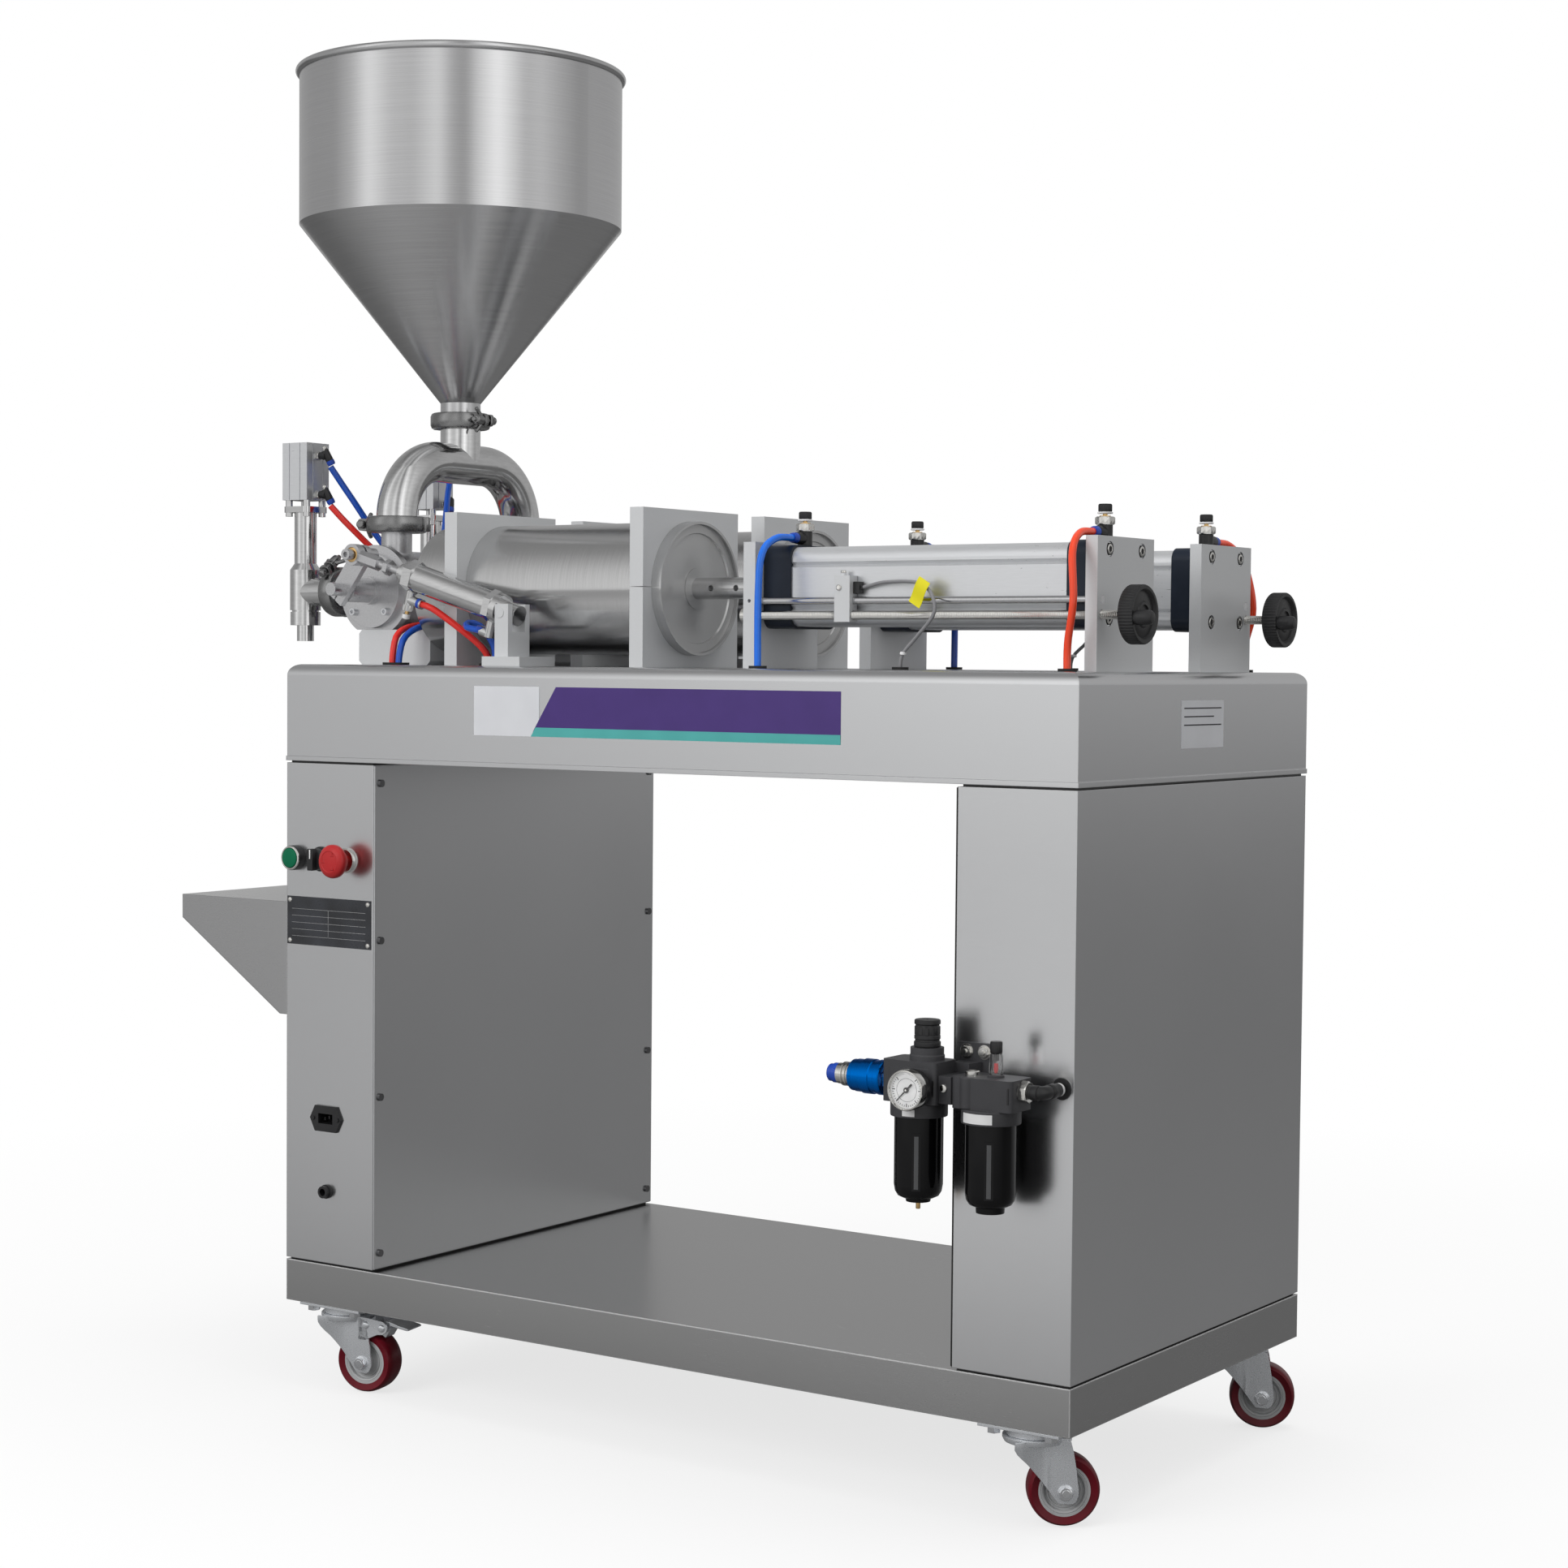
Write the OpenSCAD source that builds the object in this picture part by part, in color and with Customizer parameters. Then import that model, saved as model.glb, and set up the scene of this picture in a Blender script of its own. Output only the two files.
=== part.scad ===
// Filling machine: two mirrored filling lines on a wheeled steel cabinet, fed by one hopper.
// Millimetres. X runs from the nozzles (minus) to the hand wheels (plus), Y from front to back, Z up.
// The origin is on the floor below the middle of the cabinet.

/* [Cabinet] */
// Length of the cabinet along X
cart_l = 1080; // [1000:10:1300]
// Depth of the cabinet along Y
cart_d = 550; // [500:10:700]
// Height of the underside above the floor
ride_h = 105; // [100:1:130]
// Height of the base tray
tray_h = 50; // [40:1:80]
// Width of a column along X, with its inner cover
col_w = 141; // [130:1:180]
// Height of the columns
col_h = 606; // [560:1:700]
// Height of the hood
hood_h = 116; // [90:1:150]
// Radius of the hood's top edges
hood_r = 13; // [6:1:20]
// Sheet thickness
sheet = 2; // [1:0.5:3]
// Height of the shadow gap at a column's ends
reveal = 2.5; // [1:0.5:5]
// Depth of that gap
reveal_in = 4; // [3:0.5:8]
// Width of the flanges that the inner covers screw to
cover_flange = 30; // [20:1:50]
// Number of screws along one edge of an inner cover
cover_screws = 4; // [3:1:8]

/* [Shelf] */
// How far the shelf stands out
shelf_l = 178; // [120:1:250]
// Height of the shelf's top face
shelf_z = 590; // [400:1:680]
// Depth of the shelf's turned-down lip
shelf_lip = 25; // [15:1:40]
// Height of the side gussets below the top face
gusset_h = 137; // [80:1:180]

/* [Casters] */
// Wheel diameter
wheel_d = 75; // [65:1:80]
// Tyre width
wheel_w = 32; // [24:1:36]
// Hub diameter
hub_d = 54; // [44:1:60]
// Distance from the swivel axis to the wheel axis
trail = 30; // [20:1:35]
// Axle bolt diameter
axle_d = 8; // [6:1:10]
// Swivel pin diameter
kingpin_d = 10; // [8:1:12]
// Mounting plate length
cplate_l = 95; // [85:1:105]
// Mounting plate width
cplate_w = 70; // [64:1:80]
// Distance of the left swivel axes from the left end
caster_in_l = 70; // [50:1:110]
// Distance of the right swivel axes from the right end
caster_in_r = 60; // [50:1:110]
// Direction in which the front left wheel trails, in degrees
turn_fl = 11; // [-180:1:180]
// Direction in which the front right wheel trails
turn_fr = 37; // [-180:1:180]
// Direction in which the rear left wheel trails
turn_rl = 18; // [-180:1:180]
// Direction in which the rear right wheel trails
turn_rr = 25; // [-180:1:180]

/* [Panel] */
// Height of the row of switches
switch_z = 644; // [600:1:700]
// Distance of the start button from the left end
start_in = 15; // [15:1:30]
// Distance between neighbouring switches
switch_pitch = 41; // [35:1:45]
// Diameter of a switch's panel hole
switch_hole = 22.4; // [20:0.1:24]
// Diameter of the emergency stop's mushroom
estop_d = 40; // [30:1:40]
// Height of the power inlet
inlet_z = 332; // [250:1:400]
// Height of the pedal socket
pedal_z = 244; // [200:1:300]
// Distance of both sockets from the left end
socket_in = 66; // [45:1:90]

/* [Air treatment unit] */
// Distance of the unit's axis in front of the column
frl_out = 40; // [35:1:60]
// Height of the unit's air passage
frl_z = 458; // [400:1:600]
// Distance of the filter's axis from the right end
filter_in = 157; // [150:1:165]
// Distance of the lubricator's axis from the right end
lube_in = 72; // [65:1:80]
// Filter bowl diameter
bowl1_d = 50.5; // [44:0.5:56]
// Lubricator bowl diameter
bowl2_d = 52; // [44:0.5:56]
// Height of the bowls
bowl_h = 84; // [60:1:100]
// Diameter of the pressure gauge
gauge_d = 42; // [36:1:50]
// Travel of the shut-off sleeve
sleeve_travel = 8; // [4:1:10]

/* [Filling lines] */
// Distance between the axes of the two lines
line_pitch = 240; // [230:2:300]
// Height of the axes above the hood
axis_h = 91; // [86:1:110]
// Radial clearance of a running fit
fit = 0.05; // [0.02:0.01:0.08]
// X position of the hopper and the valves
valve_x = -504; // [-520:1:-490]

/* [Product cylinder] */
// Outer diameter
prod_d = 154; // [140:1:158]
// Wall thickness
prod_wall = 3; // [2:0.5:5]
// Length
prod_l = 370; // [330:1:420]
// X position of the closed end
prod_x = -408; // [-415:1:-400]
// Length of the product piston
piston_l = 30; // [20:1:40]
// How far the piston's back face sits inside the rim
piston_in = 4; // [2:0.5:8]
// Piston rod diameter
rod_d = 25; // [20:1:30]

/* [Plates] */
// Thickness of the two plates that hold a product cylinder
pplate_t = 19; // [12:1:25]
// Width of those plates
pplate_w = 185; // [180:1:200]
// Distance from the cylinder's closed end to the first plate
pplate1_in = 62.5; // [40:0.5:100]
// Distance from the cylinder's open end to the second plate
pplate2_in = 13.5; // [8:0.5:30]
// X position of the plate in front of the air cylinder
aplate_x = 66; // [50:1:80]
// Thickness of that plate
aplate_t = 16; // [12:1:20]
// Width of the air cylinder's plates
aplate_w = 126; // [120:1:140]
// Thickness of the rear plate
rplate_t = 14; // [10:1:18]
// How far these plates reach above the cylinder's axis
aplate_up = 49.5; // [47:0.5:60]

/* [Air cylinder] */
// Bore
bore_d = 80; // [63:1:82]
// Width of the barrel's profile
barrel_w = 88; // [86:1:92]
// Length of the barrel
barrel_l = 347; // [300:1:400]
// Width of the caps
cap_w = 93; // [93:0.5:96]
// Thickness of the front cap
cap_f = 36; // [25:1:45]
// Thickness of the rear cap
cap_r = 31; // [25:1:45]
// Distance between the tie screws
screw_pitch = 72; // [66:1:74]
// Thickness of the air piston
air_piston_l = 20; // [12:1:30]

/* [Stroke setting] */
// Guide rod diameter
guide_d = 8; // [6:1:10]
// Threaded rod diameter
thread_d = 10; // [8:1:12]
// Distance from the cylinder's axis out to the guide rod
guide_out = 51; // [50.5:0.5:54]
// Height of the guide rod below the cylinder's axis
guide_drop = 16; // [12:1:20]
// Distance between the guide rod and the threaded rod
rod_gap = 16; // [14:1:18]
// X position of the sensor block
block_x = 185; // [150:1:300]
// Length of the sensor block
block_l = 20; // [16:1:30]
// Hand wheel diameter
hand_d = 61.5; // [50:0.5:70]
// Width of the hand wheel's rim
hand_w = 17.5; // [12:0.5:24]
// Free length of the threaded rod between rear plate and wheel
wheel_gap = 32.5; // [20:0.5:50]
// Diameter of the wheel's handle
handle_d = 15.6; // [12:0.2:20]
// Length of the wheel's handle
handle_l = 26; // [15:1:40]

/* [Hopper and pipes] */
// Diameter of the hopper's body
hopper_d = 406; // [300:2:460]
// Height of the hopper's rim
hopper_top = 1625; // [1500:5:1700]
// Height of the hopper's round wall
hopper_wall_h = 195; // [100:5:300]
// Height of the hopper's cone
hopper_cone_h = 221; // [150:1:260]
// Sheet thickness of the hopper
hopper_t = 1.5; // [1:0.5:3]
// Diameter of the rolled rim
rim_d = 9.5; // [6:0.5:14]
// Outer diameter of the large pipe
pipe_d = 50.8; // [38:0.1:52]
// Wall of the pipes
pipe_t = 1.5; // [1:0.1:2.5]
// Bend radius of the manifold
bend_r = 76; // [60:1:80]
// Height of the manifold's level pipe above the axes
manifold_up = 164.5; // [150:0.5:200]
// Height of the manifold's lower joints above the axes
leg_joint_up = 82.5; // [78:0.5:85]
// Outer diameter of the small pipe
small_d = 38; // [34:0.5:40]
// Ferrule diameter of the large pipe
ferrule_d = 64; // [60:0.5:70]
// Ferrule diameter of the small pipe
small_ferrule_d = 50.5; // [48:0.5:54]
// Thickness of one ferrule
ferrule_t = 3; // [2:0.25:4]

/* [Valve] */
// Diameter of the valve's body
valve_d = 100; // [90:1:102]
// Length of the valve's body along Y
valve_l = 80; // [70:1:90]
// Diameter of the valve's flange
flange_d = 112; // [106:1:120]
// Diameter of the valve's cover
cover_d = 92; // [80:1:100]
// Diameter of the rotor
rotor_d = 70; // [60:1:76]
// Diameter of the passages
port_d = 35; // [30:1:36]
// Diameter of the valve's shaft
shaft_d = 16; // [12:1:20]
// Distance from the shaft to the link screw
arm_l = 52; // [45:1:58]
// Rest angle of the arm from upright, in degrees
arm_a = 38; // [30:1:45]
// Thickness of the arm
arm_t = 8; // [6:1:12]

/* [Valve cylinder] */
// X position of its rear pin
pin_x = -229.5; // [-240:0.5:-220]
// Height of its rear pin above the hood
pin_up = 61.5; // [55:0.5:70]
// Distance of its axis outside the line's axis
vcyl_out = 110.5; // [106:0.5:112]
// Diameter of the rear pin
vpin_d = 12; // [8:1:13]
// Outer diameter of its barrel
vtube_d = 33.5; // [28:0.5:36]
// Its bore
vbore_d = 32; // [25:1:33]
// Diameter of its rod
vrod_d = 10; // [8:1:12]

/* [Nozzle] */
// X position of the nozzles
nozzle_x = -658; // [-680:1:-640]
// Diameter of the nozzle's body
nozzle_d = 39; // [34:0.5:44]
// Diameter of the tube above it
tube_d = 28; // [24:0.5:32]
// Diameter of the tip
tip_d = 21.4; // [16:0.2:26]
// Length of the tip
tip_l = 20; // [10:1:40]
// Width of the lift cylinder's block along X
block_w = 42; // [36:1:50]
// Depth of that block along Y
block_d = 40; // [36:1:50]
// Height of that block
block_h = 72; // [50:1:90]
// Diameter of the nozzle's stem
stem_d = 8; // [6:1:10]

/* [Hidden] */
$fn = 48;
eps = 1;
steel = [0.72, 0.73, 0.74];
alu = [0.8, 0.81, 0.82];
zinc = [0.68, 0.7, 0.73];
black = [0.08, 0.08, 0.09];
navy = [0.09, 0.12, 0.18];
end_x = cart_l / 2;
side_y = cart_d / 2;
col_z0 = ride_h + tray_h;
col_z1 = col_z0 + col_h;
deck_z = col_z1 + hood_h;
axis_z = deck_z + axis_h;
line_y = -line_pitch / 2;

// Boxes and round bars between limits
module bx(x0, x1, y0, y1, z0, z1) translate([x0, y0, z0]) cube([x1 - x0, y1 - y0, z1 - z0]);
module rx(d, x0, x1, y, z) translate([x0, y, z]) rotate([0, 90, 0]) cylinder(d = d, h = x1 - x0);
module ry(d, y0, y1, x, z) translate([x, y1, z]) rotate([90, 0, 0]) cylinder(d = d, h = y1 - y0);
module rz(d, z0, z1, x, y) translate([x, y, z0]) cylinder(d = d, h = z1 - z0);
// Hexagonal bars, a is the width across flats
module hex_x(a, x0, x1, y, z)
    translate([x0, y, z]) rotate([0, 90, 0]) cylinder(d = a / cos(30), h = x1 - x0, $fn = 6);
module hex_y(a, y0, y1, x, z)
    translate([x, y1, z]) rotate([90, 0, 0]) cylinder(d = a / cos(30), h = y1 - y0, $fn = 6);
module hex_z(a, z0, z1, x, y) translate([x, y, z0]) cylinder(d = a / cos(30), h = z1 - z0, $fn = 6);
// Outlines in the XZ plane or the YZ plane, drawn out along the third axis
module xz(y0, y1) translate([0, y1, 0]) rotate([90, 0, 0]) linear_extrude(y1 - y0) children();
module yz(x0, x1) translate([x0, 0, 0]) rotate([90, 0, 90]) linear_extrude(x1 - x0) children();
module both() {
    children();
    mirror([0, 1, 0]) children();
}
module rounded(w, h, r) {
    square([w - 2 * r, h], center = true);
    square([w, h - 2 * r], center = true);
    for (i = [-1, 1], j = [-1, 1]) translate([i * (w / 2 - r), j * (h / 2 - r)]) circle(r);
}

// A hose through a run of points, as one closed tube with a ring at each point
hose_sides = 8;
function unit(v) = v / norm(v);
function along(p, i) = unit(p[min(i + 1, len(p) - 1)] - p[max(i - 1, 0)]);
function sideways(p, i, v) = i == len(p) ? [] :
    let (t = along(p, i), u = unit(v - t * (v * t))) concat([u], sideways(p, i + 1, u));
module hose(p, d) {
    u = sideways(p, 0, [0.3, 0.2, 0.9]);
    n = hose_sides;
    polyhedron([for (i = [0:len(p) - 1], k = [0:n - 1])
                    p[i] + d / 2 * (cos(360 * k / n) * u[i] + sin(360 * k / n) * cross(along(p, i), u[i]))],
               concat([[for (k = [0:n - 1]) k]],
                      [[for (k = [0:n - 1]) len(p) * n - 1 - k]],
                      [for (i = [0:len(p) - 2], k = [0:n - 1])
                          [i * n + k, (i + 1) * n + k, (i + 1) * n + (k + 1) % n, i * n + (k + 1) % n]]));
}
module bar(a, b, d) {
    v = b - a;
    translate(a) rotate([0, acos(v.z / norm(v)), atan2(v.y, v.x)]) cylinder(d = d, h = norm(v));
}

// Cabinet
cable_d = 60;
top_lip = 5.5;
lip_out = 1;
module cable_holes(z0, z1) for (s = [-1, 1]) rz(cable_d, z0, z1, s * (end_x - col_w / 2), 0);
module base_tray() color(steel) difference() {
    bx(-end_x, end_x, -side_y, side_y, ride_h, col_z0);
    bx(sheet - end_x, end_x - sheet, sheet - side_y, side_y - sheet, ride_h + sheet, col_z0 - sheet);
    cable_holes(col_z0 - sheet - eps, col_z0 + eps);
    caster_bolts(bolt_d, ride_h - eps, ride_h + sheet + eps);
}

module column(x0, x1, open_x) difference() {
    union() {
        bx(x0, x1, -side_y, side_y, col_z0 + reveal, col_z1 - reveal);
        bx(x0 + reveal_in, x1 - reveal_in, reveal_in - side_y, side_y - reveal_in, col_z0, col_z1);
    }
    bx(x0 + sheet, x1 - sheet, sheet - side_y, side_y - sheet,
       col_z0 + reveal + sheet, col_z1 - reveal - sheet);
    bx(open_x - sheet - eps, open_x + sheet + eps, cover_flange - side_y, side_y - cover_flange,
       col_z0 + cover_flange, col_z1 - cover_flange);
    cable_holes(col_z1 - reveal - sheet - eps, col_z1 + eps);
    cable_holes(col_z0 - eps, col_z0 + reveal + sheet + eps);
    cover_holes(open_x, cover_shank);
}
left_x = col_w - end_x - sheet;
right_x = -left_x;
cover_shank = 5;
screw_in = 11;
function cover_z(i) = col_z0 + 22 + i * (col_h - 46) / (cover_screws - 1);
module cover_holes(x, d)
    for (s = [-1, 1], i = [0:cover_screws - 1])
        rx(d, x - 2 * sheet, x + 2 * sheet, s * (side_y - screw_in), cover_z(i));
module left_column() color(steel) difference() {
    column(-end_x, left_x, left_x);
    for (i = [0:2]) ry(switch_hole, -side_y - eps, sheet + eps - side_y, switch_x(i), switch_z);
    ry(inlet_hole, -side_y - eps, sheet + eps - side_y, socket_x, inlet_z);
    ry(pedal_d, -side_y - eps, sheet + eps - side_y, socket_x, pedal_z);
}
module right_column() color(steel) difference() {
    column(right_x, end_x, right_x);
    ry(feed_hole, -side_y - eps, sheet + eps - side_y, feed_x, frl_z);
}
module inner_covers() color(steel)
    for (s = [-1, 1]) difference() {
        x = s * (left_x + sheet / 2);
        bx(x - sheet / 2, x + sheet / 2, 1 - side_y, side_y - 1, col_z0 + reveal + 1, col_z1 - reveal - 1);
        cover_holes(x, cover_shank);
    }

module top_edge(w, h, r) {
    translate([-w / 2, 0]) square([w, h - r]);
    translate([r - w / 2, 0]) square([w - 2 * r, h]);
    for (i = [-1, 1]) translate([i * (w / 2 - r), h - r]) circle(r);
}
module hood_block(l, d, h, r) intersection() {
    yz(-l / 2, l / 2) top_edge(d, h, r);
    xz(-d / 2, d / 2) top_edge(l, h, r);
}
module hood() color(steel) difference() {
    union() {
        translate([0, 0, col_z1]) hood_block(cart_l, cart_d, hood_h, hood_r);
        bx(-end_x - lip_out, end_x + lip_out, -side_y - lip_out, side_y + lip_out, col_z1, col_z1 + top_lip);
    }
    translate([0, 0, col_z1 + sheet])
        hood_block(cart_l - 2 * sheet, cart_d - 2 * sheet, hood_h - 2 * sheet, hood_r - sheet);
    cable_holes(col_z1 - eps, col_z1 + sheet + eps);
    both() for (g = grommet_at) rz(g[2] + 2 * gland_t, deck_z - sheet - eps, deck_z + eps, g[0], g[1]);
}

module shelf() color(steel) {
    x1 = -end_x;
    x0 = x1 - shelf_l;
    difference() {
        bx(x0, x1, -side_y, side_y, shelf_z - shelf_lip, shelf_z);
        bx(x0 + sheet, x1 - sheet, sheet - side_y, side_y - sheet,
           shelf_z - shelf_lip - eps, shelf_z - sheet);
    }
    bx(x1 - sheet, x1, -side_y, side_y, shelf_z - gusset_h, shelf_z - shelf_lip);
    for (y = [-side_y, side_y - sheet]) xz(y, y + sheet)
        polygon([[x1, shelf_z - gusset_h], [x1, shelf_z - shelf_lip], [x0, shelf_z - shelf_lip],
                 [x0, shelf_z - shelf_lip - 4], [x1 - 12, shelf_z - gusset_h]]);
}

// Casters: front left, front right, rear left, rear right
bolt_d = 8;
caster_ax = [caster_in_l - end_x, end_x - caster_in_r, caster_in_l - end_x, end_x - caster_in_r];
caster_ay = [cplate_w / 2 - side_y, cplate_w / 2 - side_y, side_y - cplate_w / 2, side_y - cplate_w / 2];
caster_turn = [turn_fl, turn_fr, turn_rl, turn_rr];
cplate_t = 3;
race_d = 59;
fork_d = 66;
fork_top = ride_h - 11;
fork_t = 5;
leg_t = 2.5;
leg_gap = wheel_w / 2 + 2.5;
hole_in = [14, 10];
wheel_z = wheel_d / 2;
brake_pivot = [trail + 28, wheel_z + 44.5];
module caster_bolts(d, z0, z1)
    for (i = [0:3], sx = [-1, 1], sy = [-1, 1])
        rz(d, z0, z1, caster_ax[i] + sx * (cplate_l / 2 - hole_in[0]),
           caster_ay[i] + sy * (cplate_w / 2 - hole_in[1]));
module caster_plates() color(zinc) difference() {
    for (i = [0:3]) translate([caster_ax[i], caster_ay[i], 0]) {
        translate([0, 0, ride_h - cplate_t / 2]) cube([cplate_l, cplate_w, cplate_t], center = true);
        rz(race_d, fork_top + 0.3, ride_h - cplate_t, 0, 0);
        rz(kingpin_d, fork_top - fork_t - 4, ride_h - cplate_t, 0, 0);
        rz(kingpin_d + 8, fork_top - fork_t - 5, fork_top - fork_t - 0.3, 0, 0);
    }
    caster_bolts(bolt_d, ride_h - cplate_t - eps, ride_h + eps);
}
module caster_at(i) translate([caster_ax[i], caster_ay[i], 0]) rotate(caster_turn[i]) children();
module leg_shape(braked) {
    polygon([[-25, fork_top - 10], [-25, fork_top], [33, fork_top], [trail + 13.5, wheel_z - 8],
             [trail + 9, wheel_z - 12], [trail - 7, wheel_z - 12], [trail - 12, wheel_z - 8]]);
    if (braked) {
        translate(brake_pivot) circle(8);
        polygon([[20, fork_top], [33, fork_top], [brake_pivot.x, brake_pivot.y + 8],
                 [brake_pivot.x, brake_pivot.y - 8], [trail + 9, wheel_z + 30]]);
    }
}
module caster_fork(i, braked) color(zinc) caster_at(i) {
    difference() {
        union() {
            rz(fork_d, fork_top - fork_t, fork_top, 0, 0);
            bx(0, 33, -leg_gap - leg_t, leg_gap + leg_t, fork_top - 3, fork_top);
            for (y = [-leg_gap - leg_t, leg_gap]) xz(y, y + leg_t) leg_shape(braked);
            for (s = [-1, 1]) rz(4, wheel_z + 8, fork_top - 1, 11, s * (leg_gap + leg_t));
        }
        rz(kingpin_d + 2 * fit, fork_top - fork_t - eps, fork_top + eps, 0, 0);
        ry(axle_d, -leg_gap - leg_t - eps, leg_gap + leg_t + eps, trail, wheel_z);
        if (braked) ry(5, -leg_gap - leg_t - eps, leg_gap + leg_t + eps, brake_pivot.x, brake_pivot.y);
    }
    ry(axle_d, -leg_gap - leg_t, leg_gap + leg_t + 7.5, trail, wheel_z);
    hex_y(13, -leg_gap - leg_t - 5.5, -leg_gap - leg_t, trail, wheel_z);
    difference() {
        hex_y(13, leg_gap + leg_t, leg_gap + leg_t + 6.5, trail, wheel_z);
        ry(axle_d, leg_gap, leg_gap + leg_t + 8, trail, wheel_z);
    }
    if (braked) {
        ry(5, -leg_gap - leg_t, leg_gap + leg_t, brake_pivot.x, brake_pivot.y);
        for (y = [-leg_gap - leg_t - 2.5, leg_gap + leg_t]) ry(9, y, y + 2.5, brake_pivot.x, brake_pivot.y);
    }
}
module caster_fork_fl() caster_fork(0, true);
module caster_fork_fr() caster_fork(1, false);
module caster_fork_rl() caster_fork(2, false);
module caster_fork_rr() caster_fork(3, false);
module caster_wheel(i) color([0.3, 0.05, 0.08])
        caster_at(i) translate([trail, 0, wheel_z]) rotate([90, 0, 0]) {
    r = wheel_d / 2;
    w = wheel_w / 2;
    h = hub_d / 2;
    b = axle_d / 2 + fit;
    rotate_extrude() polygon([[h, -w + 2], [r - 3.5, -w], [r - 1, -w + 2.5], [r, -w + 7],
                              [r, w - 7], [r - 1, w - 2.5], [r - 3.5, w], [h, w - 2]]);
    rotate_extrude() polygon([[b, -w - 1.5], [11, -w - 1.5], [11, -w + 8], [h - 7, -w + 8], [h - 6, -w + 2],
                              [h, -w + 2], [h, w - 2], [h - 6, w - 2], [h - 7, w - 8], [11, w - 8],
                              [11, w + 1.5], [b, w + 1.5]]);
}
module caster_wheel_fl() caster_wheel(0);
module caster_wheel_fr() caster_wheel(1);
module caster_wheel_rl() caster_wheel(2);
module caster_wheel_rr() caster_wheel(3);
shoe_gap = 3;
module caster_brake_fl() color(zinc) caster_at(0) {
    a = atan2(brake_pivot.y - wheel_z, brake_pivot.x - trail);
    w = leg_gap - 3;
    difference() {
        union() {
            translate([trail, 0, wheel_z]) rotate([0, -a, 0])
                translate([wheel_d / 2 + shoe_gap, -10, -7]) cube([14, 20, 14]);
            ry(12, -w, w, brake_pivot.x, brake_pivot.y);
            xz(-w, w) polygon([brake_pivot + [0, 2], brake_pivot + [10, 6], brake_pivot + [34, 1],
                               brake_pivot + [34, -2], brake_pivot + [11, 2.5], brake_pivot + [0, -3]]);
        }
        ry(5 + 2 * fit, -w - eps, w + eps, brake_pivot.x, brake_pivot.y);
    }
}

// Shared small fasteners
module pan_x(x, s, y, z) {
    rx(9, min(x, x + s * 2.5), max(x, x + s * 2.5), y, z);
    rx(cover_shank, min(x, x - s * 2 * sheet), max(x, x - s * 2 * sheet), y, z);
}
module socket_head(d, h) difference() {
    cylinder(d = d, h = h);
    translate([0, 0, h - h / 2]) cylinder(d = d * 0.55, h = h, $fn = 6);
}
module screws() color(zinc) {
    for (s = [-1, 1], y = [-1, 1], i = [0:cover_screws - 1])
        pan_x(s * (left_x + sheet), s, y * (side_y - screw_in), cover_z(i));
    caster_bolts(bolt_d, fork_top + 0.8, ride_h + sheet);
    for (i = [0:3], sx = [-1, 1], sy = [-1, 1])
        translate([caster_ax[i] + sx * (cplate_l / 2 - hole_in[0]),
                   caster_ay[i] + sy * (cplate_w / 2 - hole_in[1]), 0]) {
            difference() {
                hex_z(13, ride_h - cplate_t - 6.5, ride_h - cplate_t, 0, 0);
                rz(bolt_d, ride_h - 12, ride_h, 0, 0);
            }
            difference() {
                hex_z(13, ride_h + sheet, ride_h + sheet + 5, 0, 0);
                rz(bolt_d - 2, ride_h, ride_h + sheet + 3, 0, 0);
            }
        }
    both() for (i = [-1, 1], j = [-1, 1]) {
        translate([rplate_x1 - counter_h, line_y + i * screw_pitch / 2, axis_z + j * screw_pitch / 2])
            rotate([0, 90, 0]) socket_head(tie_head_d, counter_h - 1);
        rx(tie_d, rplate_x0, rplate_x1 - counter_h,
           line_y + i * screw_pitch / 2, axis_z + j * screw_pitch / 2);
    }
    both() for (a = [45:90:315])
        translate([valve_x + cover_bolt_r * cos(a), cover_y, axis_z + cover_bolt_r * sin(a)])
            rotate([90, 0, 0]) socket_head(9, 5);
}

// Panel switches and sockets
socket_x = socket_in - end_x;
inlet_hole = 27;
pedal_d = 12;
bezel_d = 30;
bezel_h = 8;
stem_bore = 12.6;
panel_y = -side_y;
function switch_x(i) = start_in + i * switch_pitch - end_x;
module switch_base(i, d, h) difference() {
    union() {
        ry(d, panel_y - h, panel_y, switch_x(i), switch_z);
        ry(switch_hole, panel_y, panel_y + sheet + 5, switch_x(i), switch_z);
        bx(switch_x(i) - 13, switch_x(i) + 13, panel_y + sheet + 5, panel_y + 45,
           switch_z - 15, switch_z + 15);
    }
    ry(stem_bore, panel_y - h - eps, panel_y + 20, switch_x(i), switch_z);
}
module switch_bases() color(zinc) {
    difference() {
        switch_base(0, bezel_d, bezel_h);
        ry(bezel_d - 6, panel_y - bezel_h - eps, panel_y - bezel_h + 5, switch_x(0), switch_z);
    }
    switch_base(1, bezel_d, 4);
    switch_base(2, bezel_d, 5);
}
module start_button() color([0.1, 0.6, 0.2]) {
    ry(bezel_d - 6.6, panel_y - bezel_h - 5, panel_y - bezel_h + 0.5, switch_x(0), switch_z);
    ry(stem_bore - 0.6, panel_y - bezel_h, panel_y + 14, switch_x(0), switch_z);
}
module selector_knob() color(black) {
    ry(26, panel_y - 12, panel_y - 4.3, switch_x(1), switch_z);
    bx(switch_x(1) - 4, switch_x(1) + 4, panel_y - 20, panel_y - 12, switch_z - 13, switch_z + 13);
    ry(stem_bore - 0.6, panel_y - 5, panel_y + 14, switch_x(1), switch_z);
}
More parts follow.
